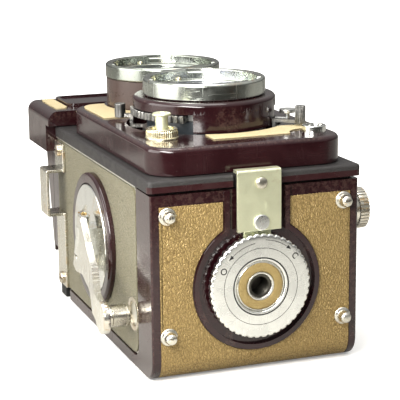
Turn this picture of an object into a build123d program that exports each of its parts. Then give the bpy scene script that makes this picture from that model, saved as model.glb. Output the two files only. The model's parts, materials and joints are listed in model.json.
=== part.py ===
from build123d import *
from math import atan2, cos, pi, radians, sin
import os

# Twin lens reflex camera for roll film, in millimetres.
# +Z is up, as the camera stands on its four feet. -Y points at the subject and
# -X is the side with the winding crank. The origin lies on the tripod socket's
# axis, in the plane of the base's outer face.

# ---- body ----------------------------------------------------------------
BODY_W = 60.0            # across the two leather covered sides
BODY_D = 51.7            # front of the casting to the back face
BODY_H = 94.0            # base face to top deck
BODY_MID_Y = -1.1        # the tripod socket sits this far behind the middle
LEATHER_T = 0.6          # covering on the sides
PANEL_T = 1.0            # side plates under the covering
WALL_T = 2.2             # casting's side walls
FRONT_WALL_T = 2.6       # casting's front wall
DECK_T = 2.2             # top deck
GAP = 0.3                # between pieces that move apart
RUN = 0.06               # radial clearance of a running fit
FIT_DEPTH = 1.6          # pocket in the front wall behind the sliding skirt

FRONT_Y = BODY_MID_Y - BODY_D / 2
BACK_Y = BODY_MID_Y + BODY_D / 2
FRONT_IN_Y = FRONT_Y + FRONT_WALL_T
SIDE_X = BODY_W / 2
CAST_X = SIDE_X - LEATHER_T - PANEL_T
CHAMBER_X = CAST_X - WALL_T

# ---- back cover, an L of base and back -------------------------------------
COVER_T = 1.6            # base wall
BACK_T = 1.8             # back wall
RIM_T = 1.3              # side walls of the L
RIM_H = 12.0             # their height along the base
RIM_D = 3.5              # their depth along the back
HEEL_R = 6.0             # rounded bottom rear edge
COVER_EDGE_R = 0.7
CAST_BEVEL = 1.6         # casting's lower rear edge, clear of the heel
COVER_TOP = 83.6
HINGE_R = 1.5
HINGE_PIN_R = 0.75
HINGE_Z = COVER_TOP + HINGE_R + 0.2
HINGE_Y = BACK_Y - HINGE_R - 0.2
HEADER_Z = HINGE_Z + 2.9  # casting closes the back again above the hinge
CASTING_KNUCKLES = ((-28.0, -20.3), (-7.0, 7.0), (20.3, 28.0))
COVER_KNUCKLES = ((-20.0, -7.3), (7.3, 20.0))
PANEL_BACK_Y = BACK_Y - RIM_D - GAP
CAST_Z0 = COVER_T + GAP
SKIN_T = 0.4             # covering let into the base and back
SKIN_X = 27.6            # its half width, front edge and top edge
SKIN_Y0 = -23.5
SKIN_TOP = 79.5

# ---- picture and mirror chambers -------------------------------------------
FRAME_HALF = 20.1        # half of the 40 mm picture, with a little room
TAKING_Z = 39.5
LENS_STEP = 36.6         # between the two lens axes
VIEWING_Z = TAKING_Z + LENS_STEP
MIRROR_T = 1.5
MIRROR_RISE = 81.0       # mirror face: z = y + MIRROR_RISE
HOOD_Y0 = -22.2          # hood, front to back
HOOD_Y1 = 13.6
HOOD_X = SIDE_X - 1.5
SCREEN_T = 1.5
SCREEN_LAP = 1.4         # how far the screen rests on the deck

# ---- spools ----------------------------------------------------------------
SPOOL_R = 8.4
SPOOL_CORE_R = 3.6
SPOOL_HALF = 25.8
FLANGE_T = 1.0
SPOOL_PIN_R = 2.0
SPOOL_PIN_DEPTH = 2.2
SUPPLY_Z = CAST_Z0 + SPOOL_R + 0.4
SUPPLY_Y = FRONT_IN_Y + SPOOL_R + 0.3

# ---- crank and gears ---------------------------------------------------------
HUB_Y = -3.7
HUB_Z = 51.0
GEAR_MODULE = 0.8
DRIVE_TEETH = 32
SPOOL_TEETH = 24
GEAR_T = 1.0
TRAIN_ANGLE = 60.0       # from the hub up to the take-up spool
BEZEL_R = 19.6
BEZEL_H = 2.0
DISC_R = 16.2
DISC_T = 1.3
CUP_R = 10.1
CUP_DEPTH = 0.7
HUB_SHAFT_R = 2.5
CRANK_ANGLE = 21.35      # parked arm, from straight down towards the back
ARM_PIN_X = SIDE_X + 4.6 # arm hinge, out from the middle plane
ARM_PIN_R = 0.9
ARM_KNUCKLE_R = 1.8
ARM_ROOT_W = 18.2
LUG_W = 9.6
GRIP_U = 36.8            # grip's axis, from the hub's
GRIP_R = 3.05
GRIP_PIN_R = 0.9
ARM_EYE_R = 4.6
ARM_T = 1.8
ARM_OUT = SIDE_X + 9.5   # arm's outer face at the grip
GRIP_END = SIDE_X + 1.3  # grip's inner end, just off the covering
EYELET_R = 4.8
EYELET_HOLE_R = 3.5

# ---- front frame and lens board ----------------------------------------------
FRAME_X = SIDE_X + 0.6
FRAME_T = 3.2            # thickness of the plate that stands in front
FRAME_SEAT = 0.45        # step that seats it on the casting
FRAME_Y = FRONT_Y - FRAME_SEAT - FRAME_T
BOARD_X = 28.0
BOARD_Z0 = 2.5
BOARD_Z1 = 84.0
BOARD_R = 8.0
BOARD_T = 7.4            # depth of the board in front of the frame
BOARD_WALL = 1.8
BOARD_ARCH_R = 19.6      # board's arch round the viewing lens
SKIRT_X = 25.0           # sliding skirt behind the board
SKIRT_Z0 = 5.5
SKIRT_Z1 = 79.0
SKIRT_T = 1.2
FOCUS_TRAVEL = 3.8
SKIRT_L = FOCUS_TRAVEL + 1.4  # so that it stays in the frame at full travel
BOARD_BACK_Y = FRAME_Y - GAP
BOARD_Y = BOARD_BACK_Y - BOARD_T
INLAY_T = 0.35
ROD_R = 1.5
ROD_X = 22.2
ROD_LOW_Z = 27.0
ROD_HIGH_Z = 53.0
ROD_END_Y = -14.0

# ---- lenses, shutter and its levers --------------------------------------------
RING_R = 17.7            # bayonet rings
RING_BORE_R = 15.2
RING_Y = -51.5           # their front rims
TAKING_RING_Y = -46.6
VIEWING_RING_Y = -47.1
CELL_R = 13.2            # light hole in each ring's floor
RING_DEPTH = 2.4         # filter seat, from the front rim to the floor
NOTCH_TURNS = (75, 195, 315)  # bayonet notches, degrees from +X towards +Z
NOTCH_HALF = 14.0
NOTCH_DEPTH = 0.9
TUBE_R = 17.5
TUBE_BORE_R = 15.0
GLASS_R = 13.1
GLASS_CURVE_R = 70.0
GLASS_DEPTH = 2.4        # glass stands this far inside the ring's front rim
CAN_R = 16.6
CAN_BORE_R = 13.4
BOSS_R = 15.0            # can's front boss, which carries the speed ring
RECESS_R = 22.5          # well round the shutter
RECESS_DEPTH = 4.8
SHROUD_R = 20.6
SHROUD_T = 3.2
SHROUD_WALL = 1.8
SKIRT_FROM = 241.0       # shroud's foot, degrees from +X towards +Z
SKIRT_TO = 326.0
SPEED_RING_R = 17.3
SPEED_KNURL_R = 21.3
SPEED_FROM = 160.0
SPEED_TO = 235.0
SPEED_T = 2.0
COLLAR_R = 17.8          # lever collars turn on the can
COLLAR_T = 0.9
POST_R0 = 20.9           # lever posts rise outside the shroud's foot
POST_R1 = 21.9
ARM_PLANE_T = 1.0
LEVER_W = 1.4
LEVER_SINK = 0.9         # lever arms lie this far above the board's face
COCKING_TURN = 318.5     # levers at rest, degrees from +X towards +Z
COCKING_R = 29.0
APERTURE_TURN = 326.5
APERTURE_R = 24.4
SYNC_TURN = 149.8
SYNC_LEVER_R = 24.9

RELEASE_X = -20.0
RELEASE_Z = 18.8
RELEASE_COLLAR_R = 4.4
RELEASE_COLLAR_H = 2.8
RELEASE_STEM_R = 1.75
RELEASE_CAP_R = 2.6
RELEASE_CAP_T = 0.8
RELEASE_TRAVEL = 2.2
RELEASE_CAP_Y = BOARD_Y - RELEASE_COLLAR_H - RELEASE_TRAVEL - RELEASE_CAP_T - 1.2
SYNC_X = 21.0
SYNC_Z = 9.6
SYNC_R = 3.3
SYNC_H = 2.3
SYNC_BORE_R = 2.1

# ---- base fittings --------------------------------------------------------------
FOOT_X = 25.4
FOOT_Y0 = -21.0
FOOT_Y1 = 11.9
FOOT_FLANGE_R = 2.45
FOOT_FLANGE_T = 0.7
FOOT_PIN_R = 1.6
FOOT_H = 3.6
CHANNEL_X = 8.0          # latch channel's half width
WELL_R = 16.8            # round well under the lock ring
WELL_DEPTH = 0.6
RIB_W = 1.4              # raised rib round channel and well
RIB_H = 0.7
LOCK_R = 14.5
LOCK_TEETH = 44
LOCK_TOP = -0.7          # inner face of the lock ring
LOCK_FACE = -2.9
BUSH_R = 7.0
BUSH_FACE = -2.6
BUSH_INNER = 4.6
THREAD_R = 2.5           # minor radius of the 1/4 in tripod thread
THREAD_L = 6.2
INSERT_R0 = 3.9
INSERT_R1 = 6.5
LATCH_X = 6.3
LATCH_T = 0.9
LATCH_Z = -1.9
LATCH_FROM = -15.2       # where the strap steps down under the lock ring
LATCH_LIP_H = 3.1
TONGUE_X = 4.0
TONGUE_END = -8.4

# ---- top -------------------------------------------------------------------------
HOUSING_X = 33.5
HOUSING_Y0 = -35.6
HOUSING_TOP = 120.0
HOUSING_Z0 = 90.5        # lower edge of the apron in front of the frame
HOUSING_WALL = 1.8
HOOD_WALL_Z = 105.6      # top of the hood base's side walls
LID_T = 1.2
LID_HINGE_Z = 115.0
LID_PIN_R = 0.8          # rolled edge that turns in the housing's rear wall
LID_REAR_Z = 108.2
LEAF_T = 0.8
LEAF_X = 20.3            # side leaves' hinge lines
LEAF_Z = 97.4
REAR_LEAF_Z = 98.9
REAR_LEAF_L = 24.0
MAGNIFIER_Z = 103.6
MAGNIFIER_Y = 8.6
MAGNIFIER_L = 15.0
MAGNIFIER_X = 8.0
LOUPE_R = 5.6

LUG_Z0 = 84.0
LUG_Z1 = 93.6
LUG_T = 0.9
LUG_Y0 = -26.1
LUG_Y1 = 20.6
LOOP_Y0 = -18.0
LOOP_Y1 = -3.1
LOOP_OUT = 6.2
LUG_SCREW_R = 1.9
LUG_SCREW_H = 0.9

KNOB_R = 5.8
KNOB_CONE_R = 4.2
KNOB_FOOT_H = 3.2
KNOB_RIM_H = 2.8
FOCUS_Y = -7.0
FOCUS_Z = 50.0
FOCUS_R = 12.5
FOCUS_H = 8.5
FOCUS_SHAFT_R = 3.0

# ---- places that follow from the sizes above -------------------------------------
TRAIN_L = GEAR_MODULE * (DRIVE_TEETH + SPOOL_TEETH) / 2
TAKE_Y = HUB_Y + TRAIN_L * cos(radians(TRAIN_ANGLE))
TAKE_Z = HUB_Z + TRAIN_L * sin(radians(TRAIN_ANGLE))
CHAMBER_R = SPOOL_R + 0.9
GEAR_X = -(CAST_X - 0.2)
PICTURE_Z0 = TAKING_Z - FRAME_HALF + 0.6
PICTURE_Z1 = TAKING_Z + FRAME_HALF + 0.4
SUPPLY_ROOF = SUPPLY_Z + SPOOL_R + 0.4


# ---- shape helpers ------------------------------------------------------------------
def box(x0, x1, y0, y1, z0, z1):
    """A plain block between two corners."""
    middle = Pos((x0 + x1) / 2, (y0 + y1) / 2, (z0 + z1) / 2)
    return middle * Box(abs(x1 - x0), abs(y1 - y0), abs(z1 - z0))


def rod_x(r, x0, x1, y, z):
    """A round bar along X."""
    return Pos((x0 + x1) / 2, y, z) * Rot(0, 90, 0) * Cylinder(r, abs(x1 - x0))


def rod_y(r, y0, y1, x, z):
    """A round bar along Y."""
    return Pos(x, (y0 + y1) / 2, z) * Rot(90, 0, 0) * Cylinder(r, abs(y1 - y0))


def rod_z(r, z0, z1, x, y):
    """A round bar along Z."""
    return Pos(x, y, (z0 + z1) / 2) * Cylinder(r, abs(z1 - z0))


def slab_y(outline, y0, y1):
    """An outline drawn in (X, Z), made solid from y1 forward to y0."""
    back = Plane(origin=(0, y1, 0), x_dir=(1, 0, 0), z_dir=(0, -1, 0))
    return extrude(back * outline, amount=y1 - y0)


def slab_x(outline, x0, x1):
    """An outline drawn in (Y, Z), made solid from x0 to x1."""
    side = Plane(origin=(x0, 0, 0), x_dir=(0, 1, 0), z_dir=(1, 0, 0))
    return extrude(side * outline, amount=x1 - x0)


def slab_z(outline, z0, z1):
    """An outline drawn in (X, Y), made solid from z0 to z1."""
    return extrude(Plane.XY.offset(z0) * outline, amount=z1 - z0)


def outline(points):
    """A closed face through a list of points."""
    return make_face(Polyline(*points, close=True))


def rounded(x0, x1, z0, z1, r):
    """A rectangle with rounded corners between two corners."""
    return Pos((x0 + x1) / 2, (z0 + z1) / 2) * RectangleRounded(x1 - x0, z1 - z0, r)


def toothed(r_root, r_tip, count, land=0.5):
    """A round outline with evenly spaced teeth, each with a flat land."""
    points = []
    for i in range(count):
        for share, r in ((0.0, r_root), (0.5 - land / 2, r_tip), (0.5 + land / 2, r_tip)):
            angle = 2 * pi * (i + share) / count
            points.append((r * cos(angle), r * sin(angle)))
    return outline(points)


def sector(r0, r1, start, end, steps=24):
    """A ring segment between two radii and two angles in degrees."""
    def arc(r, a, b):
        turns = [radians(a + (b - a) * i / steps) for i in range(steps + 1)]
        return [(r * cos(t), r * sin(t)) for t in turns]
    return outline(arc(r1, start, end) + arc(r0, end, start))


def mirror_x(shape):
    """The same piece on the other side of the camera."""
    return mirror(shape, about=Plane.YZ)


def to_train(shape):
    """Place a piece drawn about the X axis on the crank hub's axis."""
    return Pos(0, HUB_Y, HUB_Z) * shape


# ---- body ---------------------------------------------------------------------------
def body_casting():
    """Die-cast box with the picture, mirror and two film chambers."""
    half = CAST_X
    heel = CAST_Z0 + CAST_BEVEL
    side = outline([(FRONT_Y, CAST_Z0), (PANEL_BACK_Y - CAST_BEVEL, CAST_Z0),
                    (PANEL_BACK_Y, heel), (PANEL_BACK_Y, BODY_H), (FRONT_Y, BODY_H)])
    shape = slab_x(side, -half, half)
    shape += box(-SIDE_X, SIDE_X, PANEL_BACK_Y, BACK_Y, HEADER_Z, BODY_H)
    rear = PANEL_BACK_Y + 1
    shape -= box(-FRAME_HALF, FRAME_HALF, FRONT_IN_Y, rear, PICTURE_Z0, PICTURE_Z1)
    shape -= box(-CHAMBER_X, CHAMBER_X, FRONT_IN_Y, rear, CAST_Z0 - 1, SUPPLY_ROOF)
    shape -= rod_x(CHAMBER_R, -CHAMBER_X, CHAMBER_X, TAKE_Y, TAKE_Z)
    shape -= box(-CHAMBER_X, CHAMBER_X, TAKE_Y, rear, TAKE_Z - CHAMBER_R, TAKE_Z + CHAMBER_R)
    shape -= mirror_chamber()
    for z in (TAKING_Z, VIEWING_Z):
        shape -= rod_y(TUBE_BORE_R, FRONT_Y - 1, FRONT_IN_Y + 1, 0, z)
    pocket = rounded(-SKIRT_X - GAP, SKIRT_X + GAP, SKIRT_Z0 - GAP, SKIRT_Z1 + GAP, 6)
    shape -= slab_y(pocket, FRONT_Y - 1, FRONT_Y + FIT_DEPTH)
    for x in (-ROD_X, ROD_X):
        for z in (ROD_LOW_Z, ROD_HIGH_Z):
            shape -= rod_y(ROD_R + RUN, FRONT_Y, ROD_END_Y + 2, x, z)
    well_x = GEAR_X + GEAR_T + 0.3
    for teeth, y, z in ((DRIVE_TEETH, HUB_Y, HUB_Z), (SPOOL_TEETH, TAKE_Y, TAKE_Z)):
        tip = GEAR_MODULE * (teeth / 2 + 0.9) + 0.5
        shape -= rod_x(tip, -half - 1, well_x, y, z)
    shape -= rod_x(HUB_SHAFT_R + RUN, -half, -FRAME_HALF - 2, HUB_Y, HUB_Z)
    shape -= rod_x(SPOOL_PIN_R + RUN, -half, -CHAMBER_X + 1, TAKE_Y, TAKE_Z)
    for y, z in ((SUPPLY_Y, SUPPLY_Z), (TAKE_Y, TAKE_Z)):
        shape -= rod_x(SPOOL_PIN_R + RUN, CHAMBER_X - 1, half + 1, y, z)
    shape -= rod_x(FOCUS_SHAFT_R + RUN, FRAME_HALF + 2.5, half + 1, FOCUS_Y, FOCUS_Z)
    pin_x = -CHAMBER_X - 0.2
    shape += rod_x(SPOOL_PIN_R, pin_x, -SPOOL_HALF + SPOOL_PIN_DEPTH, SUPPLY_Y, SUPPLY_Z)
    return shape + casting_knuckles()


def mirror_chamber():
    """Wedge above the sloping mirror seat, open through the top deck."""
    seat = MIRROR_RISE - MIRROR_T * 2 ** 0.5
    rear = HOOD_Y1 - SCREEN_LAP - 0.4
    front = HOOD_Y0 + SCREEN_LAP - 0.2
    top = BODY_H + 1
    side = outline([(FRONT_IN_Y, FRONT_IN_Y + seat), (rear, rear + seat), (rear, top),
                    (front, top), (front, BODY_H - DECK_T),
                    (FRONT_IN_Y, BODY_H - DECK_T)])
    return slab_x(side, -FRAME_HALF, FRAME_HALF)


def knuckle(x0, x1, towards):
    """One hinge knuckle with its web, up to the casting or down to the cover."""
    barrel = rod_x(HINGE_R, x0, x1, HINGE_Y, HINGE_Z)
    if towards == "casting":
        web = box(x0, x1, HINGE_Y - HINGE_R, HINGE_Y + 0.6, HINGE_Z, HEADER_Z + 0.2)
        return barrel + web - rod_x(HINGE_PIN_R, x0 - 1, x1 + 1, HINGE_Y, HINGE_Z)
    web = box(x0, x1, HINGE_Y - 0.1, BACK_Y - 0.2, COVER_TOP - 0.2, HINGE_Z)
    return barrel + web - rod_x(HINGE_PIN_R + RUN, x0 - 1, x1 + 1, HINGE_Y, HINGE_Z)


def casting_knuckles():
    """The casting's three hinge knuckles, under the rear header."""
    shape = knuckle(*CASTING_KNUCKLES[0], "casting")
    for span in CASTING_KNUCKLES[1:]:
        shape += knuckle(*span, "casting")
    return shape


def hinge_pin():
    """Cover hinge pin, with a small head at each end."""
    x = CASTING_KNUCKLES[-1][1]
    pin = rod_x(HINGE_PIN_R, -x - 0.4, x + 0.4, HINGE_Y, HINGE_Z)
    for side in (-1, 1):
        pin += rod_x(HINGE_R, side * x, side * (x + 1.2), HINGE_Y, HINGE_Z)
    return pin


def front_frame():
    """Plate round the lens board's opening, seated on the casting's front."""
    plate = slab_y(rounded(-FRAME_X, FRAME_X, -GAP, BODY_H, 1.2), FRAME_Y, FRONT_Y - FRAME_SEAT)
    edges = plate.edges().filter_by(lambda e: e.center().Y < FRAME_Y + 0.01)
    plate = fillet(edges, 0.8)
    inner = CAST_X - GAP
    plate += box(-inner, inner, FRONT_Y - FRAME_SEAT, FRONT_Y, CAST_Z0 + GAP, BODY_H)
    hole = rounded(-SKIRT_X - GAP, SKIRT_X + GAP, SKIRT_Z0 - GAP, SKIRT_Z1 + GAP, 6)
    plate -= slab_y(hole, FRAME_Y - 1, FRONT_Y + 1)
    notch = LATCH_X + 2 * GAP
    lip_top = LATCH_Z + LATCH_LIP_H + GAP
    return plate - box(-notch, notch, FRAME_Y - 1, FRONT_Y - FRAME_SEAT + 0.1, -2, lip_top)


def panel_outline(inset):
    """Side plate's outline in (Y, Z), with rounded lower corners."""
    y0 = FRONT_Y + 0.3 + inset
    y1 = PANEL_BACK_Y - inset
    z0 = RIM_H + GAP + inset
    z1 = BODY_H - inset
    rounding = 4.2 - inset
    face = rounded(y0, y1, z0, z1 + rounding + 1, rounding)
    return face - Pos((y0 + y1) / 2, z1 + 10) * Rectangle(y1 - y0 + 2, 20)


def pierce_side(shape, side):
    """Holes for the shafts and knobs that pass out through one side."""
    if side < 0:
        shape -= rod_x(HUB_SHAFT_R + GAP, -SIDE_X - 1, -CAST_X + 1, HUB_Y, HUB_Z)
        return shape
    shape -= rod_x(FOCUS_SHAFT_R + GAP, CAST_X - 1, SIDE_X + 1, FOCUS_Y, FOCUS_Z)
    for y, z in ((SUPPLY_Y, SUPPLY_Z), (TAKE_Y, TAKE_Z)):
        shape -= rod_x(KNOB_CONE_R - 1, CAST_X - 1, SIDE_X + 1, y, z)
    return shape


def side_panels():
    """The two side plates, which close the gear well and the focus drive."""
    pieces = []
    for side in (-1, 1):
        x0, x1 = sorted((side * CAST_X, side * (CAST_X + PANEL_T)))
        pieces.append(pierce_side(slab_x(panel_outline(0), x0, x1), side))
    return pieces


def side_leathers():
    """Covering on the two side plates, set in by a narrow border."""
    pieces = []
    for side in (-1, 1):
        x0, x1 = sorted((side * (CAST_X + PANEL_T), side * SIDE_X))
        skin = pierce_side(slab_x(panel_outline(0.5), x0, x1), side)
        if side < 0:
            eye_y, eye_z = grip_place()
            skin -= rod_x(EYELET_R, -SIDE_X - 1, -CAST_X, eye_y, eye_z)
        pieces.append(skin)
    return pieces


def side_trims():
    """Bright strip up the front edge of each side."""
    y1 = FRONT_Y + GAP
    strip = box(-SIDE_X - 0.2, -CAST_X, FRONT_Y - FRAME_SEAT, y1, RIM_H + GAP, BODY_H)
    return [strip, mirror_x(strip)]


def reflex_mirror():
    """Front-surfaced mirror at 45 degrees under the focusing screen."""
    rear = HOOD_Y1 - SCREEN_LAP - 1.6
    front = FRONT_IN_Y + 1.0
    drop = MIRROR_T * 2 ** 0.5
    face = outline([(front, front + MIRROR_RISE), (rear, rear + MIRROR_RISE),
                    (rear + drop / 2, rear + MIRROR_RISE - drop / 2),
                    (front + drop / 2, front + MIRROR_RISE - drop / 2)])
    half = FRAME_HALF - 0.4
    return slab_x(face, -half, half)


def focusing_screen():
    """Ground glass on the deck, over the mirror."""
    half = FRAME_HALF + SCREEN_LAP
    rear = HOOD_Y1 - 1.0
    return box(-half, half, HOOD_Y0 + 0.1, rear, BODY_H, BODY_H + SCREEN_T)


def hood_base():
    """Low wall round the screen, which the hood folds into."""
    low = BODY_H
    y0 = HOOD_Y0
    outer = slab_z(rounded(-HOOD_X, HOOD_X, y0, HOOD_Y1, 2.5), low, HOOD_WALL_Z)
    well = box(-LEAF_X - 0.8, LEAF_X + 0.8, y0 + 1.3, HOOD_Y1 - 1.2,
               low + SCREEN_T + 0.3, HOOD_WALL_Z + 1)
    seat_x = FRAME_HALF + SCREEN_LAP + 0.1
    seat = box(-seat_x, seat_x, FRONT_IN_Y, HOOD_Y1 - 0.9, low - 1, low + SCREEN_T + 0.3)
    shape = outer - well - seat
    for side in (-1, 1):
        x0, x1 = sorted((side * (LEAF_X + 2.2), side * (HOOD_X - 1.4)))
        shape -= box(x0, x1, y0 + 2.5, HOOD_Y1 - 2.5, low - 1, HOOD_WALL_Z - 1.4)
    return shape


def nameplate_housing():
    """Broad housing in front of the hood, arched over the viewing lens."""
    deck = BODY_H
    side = outline([(HOUSING_Y0, HOUSING_Z0), (FRAME_Y - GAP, HOUSING_Z0), (FRAME_Y - GAP, deck),
                    (HOOD_Y0 - 0.2, deck), (HOOD_Y0 - 0.2, HOUSING_TOP),
                    (HOUSING_Y0, HOUSING_TOP)])
    shape = slab_x(side, -HOUSING_X, HOUSING_X)
    front_top = shape.edges().filter_by(
        lambda e: e.center().Z > HOUSING_TOP - 0.01 or
        (abs(e.center().Y - HOUSING_Y0) < 0.01 and e.center().Z < HOUSING_TOP - 5
         and e.length < HOUSING_TOP - HOUSING_Z0 + 1 and abs(e.center().X) > 1))
    shape = fillet(front_top, 3.2)
    w = HOUSING_WALL
    hollow = outline([(HOUSING_Y0 + w, HOUSING_Z0 + w), (FRAME_Y - GAP - w, HOUSING_Z0 + w),
                      (FRAME_Y - GAP - w, deck + w), (HOOD_Y0 - 0.2 - w, deck + w),
                      (HOOD_Y0 - 0.2 - w, HOUSING_TOP - w), (HOUSING_Y0 + w, HOUSING_TOP - w)])
    wide = HOUSING_X - w
    inside = slab_x(hollow, -wide, wide)
    inside -= rod_y(BOARD_ARCH_R + GAP + 0.7 + w, HOUSING_Y0, 0, 0, VIEWING_Z)
    shape -= inside
    return shape - rod_y(BOARD_ARCH_R + GAP + 0.7, HOUSING_Y0 - 1, FRAME_Y - GAP, 0, VIEWING_Z)


def plate_outline(margin, low, high):
    """Name plate's outline in (X, Z), arched below like the housing."""
    face = rounded(-HOUSING_X + margin, HOUSING_X - margin, low, high, 2.5)
    return face - Pos(0, VIEWING_Z) * Circle(BOARD_ARCH_R + 3.2)


def name_plate():
    """Blank name plate with a raised rim."""
    low, high = HOUSING_Z0 + 7.0, HOUSING_TOP - 4.6
    back = HOUSING_Y0
    plate = slab_y(plate_outline(8.6, low, high), back - 1.0, back)
    inner = rounded(-HOUSING_X + 9.8, HOUSING_X - 9.8, low + 1.2, high - 1.2, 1.6)
    inner -= Pos(0, VIEWING_Z) * Circle(BOARD_ARCH_R + 4.4)
    return plate - slab_y(inner, back - 2, back - 0.5)


def nameplate_leather():
    """Strip of covering at each end of the name plate."""
    low, high = HOUSING_Z0 + 5.0, HOUSING_TOP - 5.4
    pieces = []
    for side in (-1, 1):
        x0, x1 = sorted((side * (HOUSING_X - 7.9), side * (HOUSING_X - 4.0)))
        pieces.append(slab_y(rounded(x0, x1, low, high, 1.2), HOUSING_Y0 - INLAY_T, HOUSING_Y0))
    return pieces


def strap_lug():
    """Plated strip with a staple-shaped loop for the neck strap, crank side."""
    z0, z1 = LUG_Z0, LUG_Z1
    base, out = -SIDE_X, -SIDE_X - LUG_T
    strip = box(out, base, LUG_Y0, LOOP_Y0 + LUG_T, z0, z1)
    strip += box(out, base, LOOP_Y1 - LUG_T, LUG_Y1, z0, z1)
    loop = box(base - LOOP_OUT, base, LOOP_Y0, LOOP_Y1, z0 + 0.6, z1 - 0.6)
    loop -= box(base - LOOP_OUT + LUG_T, base + 1, LOOP_Y0 + LUG_T, LOOP_Y1 - LUG_T, z0 - 1, z1 + 1)
    corners = loop.edges().filter_by(Axis.Z).filter_by(
        lambda e: e.center().X < base - LOOP_OUT + 0.01)
    return strip + fillet(corners, 0.6)


def strap_lugs():
    """The lug on each side."""
    lug = strap_lug()
    return [lug, mirror_x(lug)]


def lug_screws():
    """Slotted screw at each end of each lug."""
    pieces = []
    z = (LUG_Z0 + LUG_Z1) / 2
    for y in (LUG_Y0 + 2.6, LUG_Y1 - 2.4):
        face = -SIDE_X - LUG_T
        head = rod_x(LUG_SCREW_R, face - LUG_SCREW_H, face, y, z)
        rim = head.edges().filter_by(lambda e: e.center().X < face - LUG_SCREW_H + 0.01)
        head = fillet(rim, 0.4)
        head -= box(face - LUG_SCREW_H - 1, face - LUG_SCREW_H + 0.35, y - 0.25, y + 0.25,
                    z - 3, z + 3)
        pieces += [head, mirror_x(head)]
    return pieces


# ---- back cover -----------------------------------------------------------------------
def l_outline(inset, top, base_h, back_d):
    """The cover's side view: an L with a rounded heel, in (Y, Z)."""
    y0 = FRONT_Y + 0.35
    y1 = BACK_Y - inset
    heel = HEEL_R - inset
    body = rounded(y0 - 20, y1, inset, top + 20, heel)
    body -= Pos(y0 - 50, 50) * Rectangle(100, 200)
    body -= Pos(0, top + 50) * Rectangle(200, 100)
    inner = rounded(y0 - 40, y1 + inset - back_d, base_h, top + 40, 4.2)
    return body - inner


def back_cover():
    """L-shaped cover: base and back in one, with raised ribs for the lock."""
    shape = slab_x(l_outline(0, COVER_TOP, RIM_H, RIM_D), -SIDE_X, SIDE_X)
    inner_x = SIDE_X - RIM_T
    hollow = rounded(FRONT_Y - 20, BACK_Y - BACK_T, COVER_T, COVER_TOP + 20, HEEL_R - BACK_T)
    shape -= slab_x(hollow, -inner_x, inner_x)
    long_edges = shape.edges().filter_by(Axis.Y).filter_by(
        lambda e: abs(e.center().Z) < 0.01 and abs(abs(e.center().X) - SIDE_X) < 0.01)
    shape = fillet(long_edges, COVER_EDGE_R)
    shape += rib(0)
    shape -= slab_z(well_outline(0), -RIB_H - 1, WELL_DEPTH)
    shape -= cover_skin_recess()
    shape -= rod_z(BUSH_R - 1.5, -1, COVER_T + 1, 0, 0)
    for x in (-FOOT_X, FOOT_X):
        for y in (FOOT_Y0, FOOT_Y1):
            shape -= rod_z(FOOT_PIN_R, -1, COVER_T + 1, x, y)
    shape -= knob_notch()
    for span in COVER_KNUCKLES:
        shape += knuckle(*span, "cover")
    return shape


def knob_notch():
    """Slot in the cover's side wall that lets it swing off the lower knob's shaft."""
    r = SPOOL_PIN_R + GAP
    away = atan2(HINGE_Y - SUPPLY_Y, HINGE_Z - SUPPLY_Z)
    reach = 2.5 * r / sin(away)
    along = Vector(-cos(away), sin(away))
    across = Vector(sin(away), cos(away)) * r
    start = Vector(SUPPLY_Y, SUPPLY_Z)
    end = start + along * reach
    corners = [start + across, end + across, end - across, start - across]
    slot = outline([(p.X, p.Y) for p in corners]) + Pos(SUPPLY_Y, SUPPLY_Z) * Circle(r)
    return slab_x(slot, SIDE_X - RIM_T - 1, SIDE_X + 1)


def well_outline(grow):
    """Channel of the latch strap joined to the round well, in (X, Y)."""
    y0 = FRONT_Y - 5
    channel = Pos(0, (y0 - WELL_R / 2) / 2) * Rectangle(
        2 * (CHANNEL_X + grow), abs(y0 + WELL_R / 2))
    return channel + Circle(WELL_R + grow)


def rib(z_in):
    """Raised rib that follows the channel and the well."""
    ring = well_outline(RIB_W) - well_outline(0)
    front = FRONT_Y + 0.35
    ring -= Pos(0, front - 50) * Rectangle(200, 100)
    return slab_z(ring, -RIB_H, z_in + 0.2)


def skin_solid(depth, clear):
    """Covering that runs over the base, round the heel and up the back."""
    y0 = SKIN_Y0 - clear
    half = SKIN_X + clear
    y1 = BACK_Y
    solid = rounded(y0 - 20, y1, 0, SKIN_TOP + clear + 20, HEEL_R)
    solid -= Pos(y0 - 50, 50) * Rectangle(100, 300)
    solid -= Pos(0, SKIN_TOP + clear + 50) * Rectangle(300, 100)
    solid -= rounded(y0 - 40, y1 - depth, depth, SKIN_TOP + 60, HEEL_R - depth)
    skin = slab_x(solid, -half, half)
    return skin - slab_z(well_outline(RIB_W + 0.25 - clear), -2, COVER_T + 1)


def cover_skin_recess():
    """Shallow recess for the covering."""
    return skin_solid(SKIN_T, 0.05)


def cover_leather():
    """Gold-brown covering on base and back, cut out round the lock."""
    skin = skin_solid(SKIN_T, 0)
    for x in (-FOOT_X, FOOT_X):
        for y in (FOOT_Y0, FOOT_Y1):
            skin -= rod_z(FOOT_PIN_R, -1, COVER_T, x, y)
    return skin


def pressure_plate():
    """Flat plate that holds the film to the picture frame."""
    y0 = PANEL_BACK_Y + 0.35
    z0, z1 = PICTURE_Z0 - 6, PICTURE_Z1 + 6
    return box(-24, 24, y0, y0 + 0.8, z0, z1)


def pressure_springs():
    """Two bowed leaf springs between the back wall and the pressure plate."""
    y0 = PANEL_BACK_Y + 1.15
    y1 = BACK_Y - BACK_T
    pieces = []
    for z in (PICTURE_Z0 + 6, PICTURE_Z1 - 6):
        leaf = outline([(-14, y1), (-14, y1 - 0.3), (-3, y0), (3, y0), (14, y1 - 0.3), (14, y1),
                        (3, y0 + 0.35), (-3, y0 + 0.35)])
        pieces.append(slab_z(leaf, z - 3, z + 3))
    return pieces


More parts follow.
